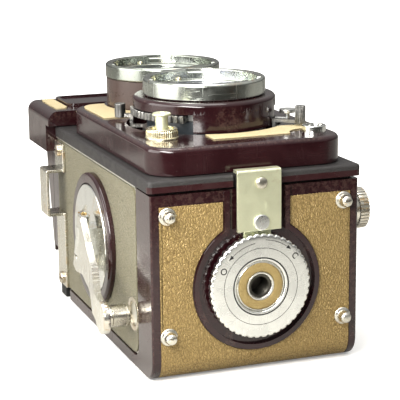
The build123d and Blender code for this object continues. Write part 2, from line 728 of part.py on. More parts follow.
def foot(x, y):
    """Plated foot: a round flange and a domed pin, riveted into the base."""
    flange = rod_z(FOOT_FLANGE_R, -FOOT_FLANGE_T, 0, x, y)
    rim = flange.edges().filter_by(lambda e: e.center().Z < -FOOT_FLANGE_T + 0.01)
    flange = fillet(rim, 0.35)
    pin = rod_z(FOOT_PIN_R, -FOOT_H, COVER_T + 0.2, x, y)
    tip = pin.edges().filter_by(lambda e: e.center().Z < -FOOT_H + 0.01)
    return flange + fillet(tip, FOOT_PIN_R * 0.75)


def feet():
    """The four feet."""
    return [foot(x, y) for x in (-FOOT_X, FOOT_X) for y in (FOOT_Y0, FOOT_Y1)]


def tripod_bush():
    """Threaded bush of the tripod socket, which also carries the lock ring."""
    bush = rod_z(BUSH_R, BUSH_FACE, WELL_DEPTH, 0, 0)
    bush += rod_z(BUSH_R - 1.5, WELL_DEPTH, BUSH_INNER, 0, 0)
    bush -= rod_z(THREAD_R, BUSH_FACE - 1, BUSH_FACE + THREAD_L, 0, 0)
    groove = Circle(INSERT_R1) - Circle(INSERT_R0)
    return bush - slab_z(groove, BUSH_FACE - 1, BUSH_FACE + 0.5)


def socket_disc():
    """Leather washer let into the bush's face."""
    washer = Circle(INSERT_R1 - 0.05) - Circle(INSERT_R0 + 0.05)
    return slab_z(washer, BUSH_FACE - 0.05, BUSH_FACE + 0.5)


def lock_ring():
    """Serrated ring that is turned to open and close the cover."""
    disc = slab_z(toothed(LOCK_R - 0.45, LOCK_R, LOCK_TEETH, 0.55), LOCK_FACE, LOCK_TOP)
    return disc - rod_z(BUSH_R + RUN, LOCK_FACE - 1, LOCK_TOP + 1, 0, 0)


def latch_plate():
    """Sprung strap that slides forward, with a lip at the front."""
    hook_y = FRAME_Y - GAP
    strap = box(-LATCH_X, LATCH_X, hook_y - LATCH_T, LATCH_FROM, LATCH_Z, LATCH_Z + LATCH_T)
    lip = box(-LATCH_X, LATCH_X, hook_y - LATCH_T, hook_y, LATCH_Z, LATCH_Z + LATCH_LIP_H)
    strap += lip
    bend = strap.edges().filter_by(Axis.X).filter_by(
        lambda e: e.center().Z < LATCH_Z + 0.01 and e.center().Y < hook_y)
    strap = fillet(bend, 0.8)
    step = WELL_DEPTH - GAP
    tongue = outline([(LATCH_FROM - 2.2, LATCH_Z + LATCH_T), (LATCH_FROM - 1.2, LATCH_Z),
                      (LATCH_FROM, LATCH_Z), (LATCH_FROM + 0.6, step - 0.6), (TONGUE_END, step - 0.6),
                      (TONGUE_END, step), (LATCH_FROM - 0.3, step)])
    return strap + slab_x(tongue, -TONGUE_X, TONGUE_X)


def latch_studs():
    """Domed stud at the strap's front and flat button by the lock ring."""
    dome = rod_z(1.65, LATCH_Z - 1.1, LATCH_Z, 0.4, -28.2)
    dome = fillet(dome.edges().filter_by(lambda e: e.center().Z < LATCH_Z - 1.09), 0.9)
    button = rod_z(2.2, LATCH_Z - 0.8, LATCH_Z, 0.5, LATCH_FROM - 2.3)
    button = fillet(button.edges().filter_by(lambda e: e.center().Z < LATCH_Z - 0.79), 0.25)
    return [dome, button]


# ---- lens board ------------------------------------------------------------------------
def board_outline(inset):
    """Board's outline: a rounded panel with an arch over the viewing lens."""
    panel = rounded(-BOARD_X + inset, BOARD_X - inset, BOARD_Z0 + inset, BOARD_Z1 - inset,
                    BOARD_R - inset)
    return panel + Pos(0, VIEWING_Z) * Circle(BOARD_ARCH_R - inset)


def lens_board():
    """Hollow board that slides out to focus, with the shutter's well."""
    shape = slab_y(board_outline(0), BOARD_Y, BOARD_BACK_Y)
    rim = shape.edges().filter_by(lambda e: e.center().Y < BOARD_Y + 0.01)
    shape = fillet(rim, 1.4)
    shape -= slab_y(board_outline(BOARD_WALL), BOARD_Y + BOARD_WALL, BOARD_BACK_Y + 1)
    shape += slab_y(Pos(0, TAKING_Z) * Circle(RECESS_R + 1.2), BOARD_Y + 1,
                    BOARD_Y + RECESS_DEPTH + 1.4)
    flange = rounded(-SKIRT_X, SKIRT_X, SKIRT_Z0, SKIRT_Z1, 5.7)
    flange -= rounded(-SKIRT_X + SKIRT_T, SKIRT_X - SKIRT_T, SKIRT_Z0 + SKIRT_T,
                      SKIRT_Z1 - SKIRT_T, 4.6)
    shape += slab_y(flange, BOARD_BACK_Y - 0.1, BOARD_BACK_Y + SKIRT_L)
    lip = board_outline(0.4) - rounded(-SKIRT_X + SKIRT_T, SKIRT_X - SKIRT_T, SKIRT_Z0 + SKIRT_T,
                                       SKIRT_Z1 - SKIRT_T, 4.6)
    shape += slab_y(lip, BOARD_BACK_Y - 1.2, BOARD_BACK_Y)
    well = Pos(0, TAKING_Z) * Circle(RECESS_R) - Pos(0, VIEWING_Z) * Circle(TUBE_R + 0.8)
    shape -= slab_y(well, BOARD_Y - 1, BOARD_Y + RECESS_DEPTH)
    shape -= rod_y(CAN_BORE_R, BOARD_Y, BOARD_BACK_Y + 1, 0, TAKING_Z)
    shape -= rod_y(TUBE_BORE_R, BOARD_Y - 1, BOARD_BACK_Y + 1, 0, VIEWING_Z)
    return shape - rod_y(RELEASE_STEM_R + RUN, BOARD_Y - 1, BOARD_Y + 4, RELEASE_X, RELEASE_Z)


def guide_rods():
    """Four rods that slide in the casting and keep the board square."""
    pieces = []
    for x in (-ROD_X, ROD_X):
        for z in (ROD_LOW_Z, ROD_HIGH_Z):
            pieces.append(rod_y(ROD_R, BOARD_Y + BOARD_WALL, ROD_END_Y, x, z))
    return pieces


def board_leather():
    """Covering let into the board: two upper fields, a corner and a foot strip."""
    inner = board_outline(2.6)
    keep = inner - Pos(0, TAKING_Z) * Circle(RECESS_R + 1.0)
    keep -= Pos(0, VIEWING_Z) * Circle(TUBE_R + 0.8)
    upper = keep - Pos(0, 20) * Rectangle(80, 68)
    upper -= Pos(0, TAKING_Z + 6) * Rectangle(80, 20)
    lower = keep - Pos(0, 60) * Rectangle(80, 76)
    strip = lower - Pos(-25, 10) * Rectangle(34, 40)
    strip -= Pos(SYNC_X, SYNC_Z) * Circle(SYNC_R + 3.4)
    strip -= Pos(0, 4) * Rectangle(80, 13)
    pieces = []
    for face in (upper, strip):
        for part in face.faces():
            pieces.append(slab_y(part, BOARD_Y - INLAY_T, BOARD_Y))
    return pieces


def shutter_can():
    """Shutter housing in the board's well, with the boss for the speed ring."""
    floor = BOARD_Y + RECESS_DEPTH
    step = TAKING_RING_Y + SHROUD_T + SPEED_T + 2 * GAP
    can = rod_y(CAN_R, step, floor, 0, TAKING_Z)
    can += rod_y(BOSS_R, TAKING_RING_Y + SHROUD_T, step, 0, TAKING_Z)
    return can - rod_y(CAN_BORE_R, TAKING_RING_Y, floor + 1, 0, TAKING_Z)


def lens_shroud():
    """Cover over the shutter, with one deep side that stands on the board."""
    back = TAKING_RING_Y + SHROUD_T
    disc = rod_y(SHROUD_R, TAKING_RING_Y, back, 0, TAKING_Z)
    rim = disc.edges().filter_by(lambda e: e.center().Y < TAKING_RING_Y + 0.01)
    disc = fillet(rim, 1.2)
    ring = sector(SHROUD_R - SHROUD_WALL, SHROUD_R, SKIRT_FROM, SKIRT_TO)
    disc += slab_y(Pos(0, TAKING_Z) * ring, back - 0.1, BOARD_Y)
    disc -= rod_y(CELL_R, TAKING_RING_Y - 1, back + 1, 0, TAKING_Z)
    return disc - rod_y(TUBE_R + GAP, TAKING_RING_Y - 5, BOARD_Y + 1, 0, VIEWING_Z)


def bayonet_ring(base, z):
    """Plated ring with three notches inside its rim."""
    ring = rod_y(RING_R, RING_Y, base, 0, z)
    rim = ring.edges().filter_by(lambda e: e.center().Y < RING_Y + 0.01)
    ring = fillet(rim, 0.4)
    ring -= rod_y(RING_BORE_R, RING_Y - 1, RING_Y + RING_DEPTH, 0, z)
    ring -= rod_y(CELL_R, RING_Y - 1, base + 1, 0, z)
    for turn in NOTCH_TURNS:
        notch = sector(RING_BORE_R - 0.5, RING_BORE_R + 1.4, turn - NOTCH_HALF,
                       turn + NOTCH_HALF, 6)
        ring -= slab_y(Pos(0, z) * notch, RING_Y - 1, RING_Y + NOTCH_DEPTH)
    return ring


def taking_bayonet():
    """Bayonet ring of the taking lens."""
    return bayonet_ring(TAKING_RING_Y, TAKING_Z)


def viewing_bayonet():
    """Bayonet ring of the viewing lens."""
    return bayonet_ring(VIEWING_RING_Y, VIEWING_Z)


def viewing_tube():
    """Painted tube of the viewing lens, standing on the board."""
    tube = rod_y(TUBE_R, VIEWING_RING_Y, BOARD_Y, 0, VIEWING_Z)
    return tube - rod_y(TUBE_BORE_R, VIEWING_RING_Y - 1, BOARD_Y + 1, 0, VIEWING_Z)


def lens_element(base, z):
    """Front element: a disc with a domed face, in the ring's cell."""
    back = base - 0.2
    centre_y = RING_Y + GLASS_DEPTH + GLASS_CURVE_R
    ball = Pos(0, centre_y, z) * Sphere(GLASS_CURVE_R)
    return ball & rod_y(GLASS_R, RING_Y, back, 0, z)


def taking_glass():
    """Front element of the taking lens."""
    return lens_element(TAKING_RING_Y, TAKING_Z)


def viewing_glass():
    """Front element of the viewing lens."""
    return lens_element(VIEWING_RING_Y, VIEWING_Z)


def sync_socket():
    """Coaxial flash socket on the board."""
    shell = rod_y(SYNC_R, BOARD_Y - SYNC_H, BOARD_Y, SYNC_X, SYNC_Z)
    rim = shell.edges().filter_by(lambda e: e.center().Y < BOARD_Y - SYNC_H + 0.01)
    shell = fillet(rim, 0.3)
    shell -= rod_y(SYNC_BORE_R, BOARD_Y - SYNC_H - 1, BOARD_Y - 0.4, SYNC_X, SYNC_Z)
    return shell + rod_y(0.7, BOARD_Y - SYNC_H + 0.3, BOARD_Y - 0.3, SYNC_X, SYNC_Z)


def release_collar():
    """Knurled collar round the shutter release."""
    low = BOARD_Y - RELEASE_COLLAR_H
    knurl = toothed(RELEASE_COLLAR_R - 0.25, RELEASE_COLLAR_R, 40)
    collar = slab_y(Pos(RELEASE_X, RELEASE_Z) * knurl, low + 0.5, BOARD_Y - 0.5)
    smooth = RELEASE_COLLAR_R - 0.2
    collar += rod_y(smooth, low, low + 0.5, RELEASE_X, RELEASE_Z)
    collar += rod_y(RELEASE_COLLAR_R + 0.2, BOARD_Y - 0.5, BOARD_Y, RELEASE_X, RELEASE_Z)
    collar -= rod_y(RELEASE_COLLAR_R - 1.1, low - 1, low + 0.9, RELEASE_X, RELEASE_Z)
    return collar - rod_y(RELEASE_STEM_R + RUN, low - 1, BOARD_Y + 1, RELEASE_X, RELEASE_Z)


def release_button():
    """Plunger with a mushroom cap, threaded for a cable release."""
    stem = rod_y(RELEASE_STEM_R, RELEASE_CAP_Y, BOARD_Y + 2.6, RELEASE_X, RELEASE_Z)
    cap = rod_y(RELEASE_CAP_R, RELEASE_CAP_Y, RELEASE_CAP_Y + RELEASE_CAP_T, RELEASE_X, RELEASE_Z)
    rim = cap.edges().filter_by(lambda e: e.center().Y < RELEASE_CAP_Y + 0.01)
    return stem + fillet(rim, 0.35)


def speed_ring():
    """Ring that sets the shutter speed, with a knurled thumb sector."""
    y0 = TAKING_RING_Y + SHROUD_T + 0.3
    y1 = y0 + SPEED_T
    ring = Circle(SPEED_RING_R) - Circle(BOSS_R + RUN)
    count = 15
    step = (SPEED_TO - SPEED_FROM) / count
    points = []
    for i in range(count):
        start = SPEED_FROM + i * step
        for share, r in ((0.0, SPEED_KNURL_R - 0.6), (0.25, SPEED_KNURL_R),
                         (0.75, SPEED_KNURL_R)):
            turn = radians(start + share * step)
            points.append((r * cos(turn), r * sin(turn)))
    for i in range(13):
        turn = radians(SPEED_TO - (SPEED_TO - SPEED_FROM) * i / 12)
        points.append(((SPEED_RING_R - 0.6) * cos(turn), (SPEED_RING_R - 0.6) * sin(turn)))
    return slab_y(Pos(0, TAKING_Z) * (ring + outline(points)), y0, y1)


def lever(turn, level, reach):
    """A collar on the can, a post up out of the well and an arm outwards."""
    floor = BOARD_Y + RECESS_DEPTH
    y1 = floor - 0.3 - level * (COLLAR_T + 0.3)
    y0 = y1 - COLLAR_T
    top = BOARD_Y - LEVER_SINK
    ring = slab_y(Pos(0, TAKING_Z) * (Circle(COLLAR_R) - Circle(CAN_R + RUN)), y0, y1)
    spoke = box(COLLAR_R - 0.5, POST_R1, y0, y1, -LEVER_W / 2, LEVER_W / 2)
    spoke += box(POST_R0, POST_R1, top - ARM_PLANE_T, y1, -LEVER_W / 2, LEVER_W / 2)
    spoke += box(POST_R0, reach, top - ARM_PLANE_T, top, -LEVER_W / 2, LEVER_W / 2)
    return ring + Pos(0, 0, TAKING_Z) * Rot(0, -turn, 0) * spoke


def polar(turn, r):
    """Point (x, z) at an angle and a radius from the taking lens."""
    return r * cos(radians(turn)), TAKING_Z + r * sin(radians(turn))


def cocking_lever():
    """Shutter cocking lever with a knurled knob."""
    x, z = polar(COCKING_TURN, COCKING_R)
    shape = lever(COCKING_TURN, 0, COCKING_R)
    base = BOARD_Y - LEVER_SINK - ARM_PLANE_T
    knob = toothed(1.3, 1.5, 16)
    return shape + slab_y(Pos(x, z) * knob, base - 4.0, base + ARM_PLANE_T)


def aperture_lever():
    """Aperture lever with a flat round tab."""
    x, z = polar(APERTURE_TURN, APERTURE_R)
    shape = lever(APERTURE_TURN, 1, APERTURE_R)
    base = BOARD_Y - LEVER_SINK - ARM_PLANE_T
    shape += rod_y(0.7, base - 1.4, base + 0.5, x, z)
    return shape + rod_y(2.4, base - 2.4, base - 1.4, x, z)


def sync_lever():
    """Delay and flash setting lever with a small knob."""
    x, z = polar(SYNC_TURN, SYNC_LEVER_R)
    shape = lever(SYNC_TURN, 2, SYNC_LEVER_R)
    base = BOARD_Y - LEVER_SINK - ARM_PLANE_T
    knob = rod_y(1.6, base - 3.0, base + ARM_PLANE_T, x, z)
    rim = knob.edges().filter_by(lambda e: e.center().Y < base - 2.99)
    return shape + fillet(rim, 0.3)


# ---- crank, gears and spools ----------------------------------------------------------
def gear_outline(teeth):
    """Spur gear with straight-flanked teeth and a little backlash."""
    pitch = GEAR_MODULE * teeth / 2
    points = []
    for i in range(teeth):
        for share, r in ((-0.34, pitch - 0.95), (-0.10, pitch + 0.62), (0.10, pitch + 0.62),
                         (0.34, pitch - 0.95)):
            turn = 2 * pi * (i + share) / teeth
            points.append((r * cos(turn), r * sin(turn)))
    return outline(points)


def crank_bezel():
    """Painted ring on the side plate round the crank's disc."""
    face = -SIDE_X
    ring = rod_x(BEZEL_R, face - BEZEL_H, face, HUB_Y, HUB_Z)
    rim = ring.edges().filter_by(lambda e: e.center().X < face - BEZEL_H + 0.01)
    ring = fillet(rim, 0.9)
    ring -= rod_x(DISC_R + GAP, face - BEZEL_H - 1, face - 0.6, HUB_Y, HUB_Z)
    return ring - rod_x(HUB_SHAFT_R + RUN, face - BEZEL_H - 1, face + 1, HUB_Y, HUB_Z)


def crank_hub():
    """Disc with a shallow cup, a lug for the arm and the winding shaft."""
    face = -SIDE_X - 0.9
    disc = rod_x(DISC_R, face - DISC_T, face, 0, 0)
    rim = disc.edges().filter_by(lambda e: e.center().X < face - DISC_T + 0.01)
    disc = fillet(rim, 0.3)
    disc -= rod_x(CUP_R, face - DISC_T - 1, face - DISC_T + CUP_DEPTH, 0, 0)
    lug = box(-ARM_PIN_X, face - 0.3, -LUG_W / 2, LUG_W / 2, -ARM_KNUCKLE_R, ARM_KNUCKLE_R)
    lug += Pos(-ARM_PIN_X, 0, 0) * Rot(90, 0, 0) * Cylinder(ARM_KNUCKLE_R, LUG_W)
    disc += lug
    disc += rod_x(HUB_SHAFT_R, face - 0.2, -FRAME_HALF - 2.6, 0, 0)
    disc -= Pos(-ARM_PIN_X, 0, 0) * Rot(90, 0, 0) * Cylinder(ARM_PIN_R, LUG_W + 2)
    return to_train(Rot(CRANK_ANGLE, 0, 0) * disc)


def arm_pin():
    """Bored pin across the hub, on which the arm folds."""
    pin = Cylinder(ARM_PIN_R, ARM_ROOT_W - 0.2) - Cylinder(0.4, ARM_ROOT_W + 1)
    return to_train(Rot(CRANK_ANGLE, 0, 0) * Pos(-ARM_PIN_X, 0, 0) * Rot(90, 0, 0) * pin)


def crank_arm():
    """Waisted arm with a forked root and a round eye for the grip."""
    tip = GRIP_U + ARM_EYE_R
    root = ARM_KNUCKLE_R
    outer = ARM_PIN_X + ARM_KNUCKLE_R
    side = outline([(-outer, 0), (-outer - 0.1, -8), (-outer - 1.0, -20), (-ARM_OUT, -30),
                    (-ARM_OUT, -tip - 1), (-ARM_OUT + ARM_T, -tip - 1), (-ARM_OUT + ARM_T, -30.6),
                    (-outer + 0.9, -20.6), (-outer + ARM_T, -8), (-outer + ARM_T, 0)])
    plate = slab_y(side, -ARM_ROOT_W / 2, ARM_ROOT_W / 2)
    plate += Pos(-ARM_PIN_X, 0, 0) * Rot(90, 0, 0) * Cylinder(root, ARM_ROOT_W)
    half = ARM_ROOT_W / 2
    plan = outline([(-half, root), (half, root), (half, -3.0), (5.6, -9.5), (4.2, -16),
                    (3.6, -26), (3.3, -GRIP_U), (-3.3, -GRIP_U), (-3.6, -26), (-4.2, -16),
                    (-5.6, -9.5), (-half, -3.0)])
    plan += Pos(0, -GRIP_U) * Circle(ARM_EYE_R)
    arm = plate & slab_x(plan, -ARM_OUT - 1, -ARM_PIN_X + root + 1)
    slot = LUG_W / 2 + GAP
    arm -= box(-outer - 2, -ARM_PIN_X + root + 1, -slot, slot, -root - 0.9, root + 1)
    arm -= Pos(-ARM_PIN_X, 0, 0) * Rot(90, 0, 0) * Cylinder(ARM_PIN_R + RUN, ARM_ROOT_W + 2)
    arm += rod_x(GRIP_PIN_R, -ARM_OUT + ARM_T - 0.1, -GRIP_END - 0.5, 0, -GRIP_U)
    return to_train(Rot(CRANK_ANGLE, 0, 0) * arm)


def crank_grip():
    """Fluted sleeve that turns on the arm's pin."""
    flutes = toothed(GRIP_R - 0.35, GRIP_R, 12, 0.6)
    sleeve = slab_x(flutes, -ARM_OUT + ARM_T + 0.3, -GRIP_END)
    sleeve -= rod_x(GRIP_PIN_R + RUN, -ARM_OUT, -GRIP_END + 1, 0, 0)
    return to_train(Rot(CRANK_ANGLE, 0, 0) * Pos(0, 0, -GRIP_U) * sleeve)


def grip_place():
    """Where the parked grip's axis meets the side, as (y, z)."""
    turn = radians(CRANK_ANGLE)
    return HUB_Y + GRIP_U * sin(turn), HUB_Z - GRIP_U * cos(turn)


def grip_eyelet():
    """Ring in the covering that the parked grip points into."""
    y, z = grip_place()
    x0 = -SIDE_X
    ring = rod_x(EYELET_R - 0.05, x0, -CAST_X - PANEL_T, y, z)
    return ring - rod_x(EYELET_HOLE_R, x0 - 1, -CAST_X, y, z)


def drive_gear():
    """Gear on the crank's shaft, in the side wall's well."""
    blank = slab_x(gear_outline(DRIVE_TEETH), GEAR_X, GEAR_X + GEAR_T)
    blank -= rod_x(HUB_SHAFT_R, GEAR_X - 1, GEAR_X + GEAR_T + 1, 0, 0)
    return to_train(Rot(TRAIN_ANGLE, 0, 0) * blank)


def spool_gear():
    """Gear and key that turn the take-up spool."""
    blank = slab_x(gear_outline(SPOOL_TEETH), GEAR_X, GEAR_X + GEAR_T)
    turn = TRAIN_ANGLE + 180 + 180.0 / SPOOL_TEETH
    shaft = rod_x(SPOOL_PIN_R, GEAR_X, -SPOOL_HALF + SPOOL_PIN_DEPTH, 0, 0)
    return Pos(0, TAKE_Y, TAKE_Z) * Rot(turn, 0, 0) * (blank + shaft)


def spool(bore_gap):
    """Film spool: a slotted core, two flanges and a blind hole at each end."""
    shape = rod_x(SPOOL_CORE_R, -SPOOL_HALF, SPOOL_HALF, 0, 0)
    for side in (-1, 1):
        shape += rod_x(SPOOL_R, side * SPOOL_HALF, side * (SPOOL_HALF - FLANGE_T), 0, 0)
        deep = side * (SPOOL_HALF - SPOOL_PIN_DEPTH - 0.4)
        shape -= rod_x(SPOOL_PIN_R + bore_gap, side * (SPOOL_HALF + 1), deep, 0, 0)
    return shape - box(-18, 18, -0.6, 0.6, -SPOOL_CORE_R - 1, SPOOL_CORE_R + 1)


def take_up_spool():
    """Upper spool, which winds the exposed film."""
    return Pos(0, TAKE_Y, TAKE_Z) * spool(RUN)


def supply_spool():
    """Lower spool, which holds the fresh film."""
    return Pos(0, SUPPLY_Y, SUPPLY_Z) * spool(RUN)


def spool_knob(y, z):
    """Knurled knob that is pulled out to free one end of a spool."""
    base = SIDE_X + GAP
    foot = base + KNOB_FOOT_H
    knob = Pos((base + foot) / 2, 0, 0) * Rot(0, 90, 0) * Cone(
        KNOB_CONE_R, KNOB_R - 0.5, KNOB_FOOT_H)
    knob += slab_x(toothed(KNOB_R - 0.35, KNOB_R, 36), foot, foot + KNOB_RIM_H)
    knob += rod_x(SPOOL_PIN_R, SPOOL_HALF - SPOOL_PIN_DEPTH, base + 0.2, 0, 0)
    return Pos(0, y, z) * knob


def supply_knob():
    """Knob of the lower spool."""
    return spool_knob(SUPPLY_Y, SUPPLY_Z)


def take_up_knob():
    """Knob of the upper spool."""
    return spool_knob(TAKE_Y, TAKE_Z)


def focus_knob():
    """Large knurled knob that moves the lens board."""
    base = SIDE_X + GAP
    knob = slab_x(toothed(FOCUS_R - 0.45, FOCUS_R, 60), base + 2.2, base + FOCUS_H - 0.8)
    knob += rod_x(FOCUS_R - 0.8, base, base + FOCUS_H, 0, 0)
    knob -= rod_x(FOCUS_R - 2.6, base + FOCUS_H - 0.6, base + FOCUS_H + 1, 0, 0)
    knob += rod_x(FOCUS_SHAFT_R, FRAME_HALF + 2.6, base + 0.2, 0, 0)
    return Pos(0, FOCUS_Y, FOCUS_Z) * knob


# ---- folding hood ------------------------------------------------------------------------
def hood_lid():
    """Sloping lid with cheeks, hinged behind the nameplate housing."""
    y0, y1 = HOOD_Y0 + 0.3, HOOD_Y1
    x = HOOD_X
    pin_y, pin_z = y0 + LID_PIN_R, LID_HINGE_Z - LID_PIN_R
    side = outline([(y0, HOOD_WALL_Z + GAP), (y1, HOOD_WALL_Z + GAP), (y1, LID_REAR_Z),
                    (pin_y, LID_HINGE_Z), (y0, pin_z)])
    shape = slab_x(side, -x, x)
    corners = shape.edges().filter_by(
        lambda e: e.center().Z > LID_REAR_Z - 0.01 and e.center().Y > pin_y + GAP)
    shape = fillet(corners, 1.0)
    hollow = outline([(y0 - 1, HOOD_WALL_Z - 1), (y1 - 1.2, HOOD_WALL_Z - 1),
                      (y1 - 1.2, LID_REAR_Z - LID_T + 0.2), (y0 - 1, LID_HINGE_Z - LID_T)])
    shape -= slab_x(hollow, -x + 1.3, x - 1.3)
    shape += rod_x(LID_PIN_R, -x, x, pin_y, pin_z)
    for side_x in (-1, 1):
        x0, x1 = sorted((side_x * (MAGNIFIER_X + 0.3), side_x * (MAGNIFIER_X + 1.5)))
        ear = box(x0, x1, MAGNIFIER_Y - 1.2, MAGNIFIER_Y + 1.2, MAGNIFIER_Z - 0.2, LID_REAR_Z)
        ear += rod_x(1.2, x0, x1, MAGNIFIER_Y, MAGNIFIER_Z)
        ear -= rod_x(0.6, x0 - 1, x1 + 1, MAGNIFIER_Y, MAGNIFIER_Z)
        shape += ear
    return shape


def rear_leaf():
    """Rear wall of the hood, folded forward over the side leaves."""
    y1 = HOOD_Y1 - 1.6
    half = LEAF_X - 1.6
    leaf = box(-half, half, y1 - REAR_LEAF_L, y1, REAR_LEAF_Z - LEAF_T / 2,
               REAR_LEAF_Z + LEAF_T / 2)
    return leaf + rod_x(0.6, -half, half, y1 - 0.2, REAR_LEAF_Z)


def side_leaf(side):
    """Side wall of the hood, with its rear corner cut at 45 degrees."""
    y0, y1 = HOOD_Y0 + 5.0, HOOD_Y1 - 2.4
    wide = LEAF_X - 0.5
    plan = outline([(side * LEAF_X, y0), (side * LEAF_X, y1), (side * (LEAF_X - wide), y1 - wide),
                    (side * (LEAF_X - wide), y0 + 1.5), (side * (LEAF_X - 2), y0)])
    leaf = slab_z(plan, LEAF_Z - LEAF_T / 2, LEAF_Z + LEAF_T / 2)
    return leaf + rod_y(0.55, y0, y1, side * LEAF_X, LEAF_Z)


def side_leaf_right():
    """Side leaf on the crank side."""
    return side_leaf(-1)


def side_leaf_left():
    """Side leaf on the focus side."""
    return side_leaf(1)


def magnifier():
    """Frame of the focusing magnifier, hinged inside the lid."""
    y1 = MAGNIFIER_Y
    y0 = y1 - MAGNIFIER_L
    x = MAGNIFIER_X
    frame = slab_z(rounded(-x, x, y0, y1 - 0.9, 2.0), MAGNIFIER_Z - 0.6, MAGNIFIER_Z + 0.6)
    frame += rod_x(0.9, -x, x, y1, MAGNIFIER_Z)
    frame += box(-x, x, y1 - 1.4, y1, MAGNIFIER_Z - 0.6, MAGNIFIER_Z + 0.6)
    frame += rod_x(0.6 - RUN, -x - 1.4, x + 1.4, y1, MAGNIFIER_Z)
    return frame - rod_z(LOUPE_R, MAGNIFIER_Z - 2, MAGNIFIER_Z + 2, 0, (y0 + y1) / 2 - 0.6)


def magnifier_glass():
    """Lens of the focusing magnifier."""
    middle = MAGNIFIER_Y - MAGNIFIER_L / 2 - 0.6
    return rod_z(LOUPE_R, MAGNIFIER_Z - 0.5, MAGNIFIER_Z + 0.5, 0, middle)


PIECES = (body_casting, front_frame, side_panels, side_leathers, side_trims, hinge_pin,
          reflex_mirror, focusing_screen, hood_base, nameplate_housing, name_plate,
          nameplate_leather, strap_lugs, lug_screws, crank_bezel, grip_eyelet, back_cover,
          cover_leather, pressure_plate, pressure_springs, feet, tripod_bush, socket_disc,
          lock_ring, latch_plate, latch_studs, focus_knob, lens_board, guide_rods,
          board_leather, shutter_can, lens_shroud, taking_bayonet, viewing_bayonet,
          viewing_tube, taking_glass, viewing_glass, sync_socket, release_collar,
          release_button, speed_ring, cocking_lever, aperture_lever, sync_lever, crank_hub,
          arm_pin, crank_arm, crank_grip, drive_gear, spool_gear, take_up_spool,
          supply_spool, supply_knob, take_up_knob, hood_lid, rear_leaf, side_leaf_right,
          side_leaf_left, magnifier, magnifier_glass)


def main():
    """Write each piece to its own file."""
    os.makedirs("parts", exist_ok=True)
    for make in PIECES:
        shape = make()
        solids = shape if isinstance(shape, list) else [shape]
        solids = [s for item in solids for s in item.solids()]
        whole = solids[0] if len(solids) == 1 else Compound(children=solids)
        export_step(whole, f"parts/{make.__name__}.step")


main()
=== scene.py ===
"""Looks of the twin lens reflex camera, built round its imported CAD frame.

Sizes are in millimetres until a mesh is made. The row frame has +Z up as the
camera stands on its feet, -Y towards the subject and -X on the crank's side.
The camera lies on its back, so the floor is the plane behind the back cover.
"""
import json
from math import cos, pi, radians, sin

import bmesh
import bpy
import numpy as np
from mathutils import Matrix, Vector

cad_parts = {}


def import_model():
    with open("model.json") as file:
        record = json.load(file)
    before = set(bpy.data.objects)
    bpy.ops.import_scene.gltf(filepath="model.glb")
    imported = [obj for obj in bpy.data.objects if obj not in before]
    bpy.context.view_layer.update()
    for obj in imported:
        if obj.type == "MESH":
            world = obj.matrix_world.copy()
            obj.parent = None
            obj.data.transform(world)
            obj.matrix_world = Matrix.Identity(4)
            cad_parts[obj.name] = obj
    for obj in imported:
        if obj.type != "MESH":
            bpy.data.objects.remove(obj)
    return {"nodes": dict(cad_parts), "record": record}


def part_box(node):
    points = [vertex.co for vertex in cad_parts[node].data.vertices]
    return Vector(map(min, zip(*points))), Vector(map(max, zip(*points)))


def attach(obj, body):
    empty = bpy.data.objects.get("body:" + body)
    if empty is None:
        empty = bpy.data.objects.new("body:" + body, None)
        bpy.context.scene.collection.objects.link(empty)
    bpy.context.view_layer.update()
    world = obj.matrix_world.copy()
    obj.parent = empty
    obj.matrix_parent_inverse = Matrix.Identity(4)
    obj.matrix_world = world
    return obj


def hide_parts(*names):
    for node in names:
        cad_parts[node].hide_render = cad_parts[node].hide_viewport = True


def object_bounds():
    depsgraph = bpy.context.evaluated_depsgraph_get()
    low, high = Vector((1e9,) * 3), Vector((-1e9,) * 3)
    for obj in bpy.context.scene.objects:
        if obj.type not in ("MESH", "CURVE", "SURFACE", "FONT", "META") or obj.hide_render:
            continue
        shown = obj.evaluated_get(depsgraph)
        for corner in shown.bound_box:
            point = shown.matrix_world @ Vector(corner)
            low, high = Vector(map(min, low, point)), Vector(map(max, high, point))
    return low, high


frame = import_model()
CAD_BOX = [list(corner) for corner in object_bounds()]
MM = 0.001
BEHAVIOUR = frame["record"]["behaviour"]
BODY_OF = {node: body for body, nodes in BEHAVIOUR["bodies"].items() for node in nodes}


def low(node):
    """Lowest corner of a CAD node, in mm."""
    return np.array(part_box(node)[0]) / MM


def high(node):
    """Highest corner of a CAD node, in mm."""
    return np.array(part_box(node)[1]) / MM


def middle(node):
    """Centre of a CAD node's box, in mm."""
    return (low(node) + high(node)) / 2


# ---- meshes ------------------------------------------------------------------
AXES = {"x": ((1, 0, 0), (0, 1, 0), (0, 0, 1)),
        "y": ((0, 1, 0), (1, 0, 0), (0, 0, 1)),
        "z": ((0, 0, 1), (1, 0, 0), (0, 1, 0))}
JOINED = 1e-6       # metres between CAD vertices that are one
FACET_ANGLE = radians(32)
AXIS_R = 0.01       # a profile that meets its axis stops this far from it
NEARLY_HALF = 2.05  # neighbouring corners' curves stay apart


def grid_faces(rows, cols, close_rows, close_cols):
    """Quads of a grid of points, row by row, closed in either direction."""
    last_row = rows if close_rows else rows - 1
    last_col = cols if close_cols else cols - 1
    i, j = np.meshgrid(np.arange(last_row), np.arange(last_col), indexing="ij")
    i1, j1 = (i + 1) % rows, (j + 1) % cols
    quads = np.stack([i * cols + j, i * cols + j1, i1 * cols + j1, i1 * cols + j], -1)
    return quads.reshape(-1, 4).tolist()


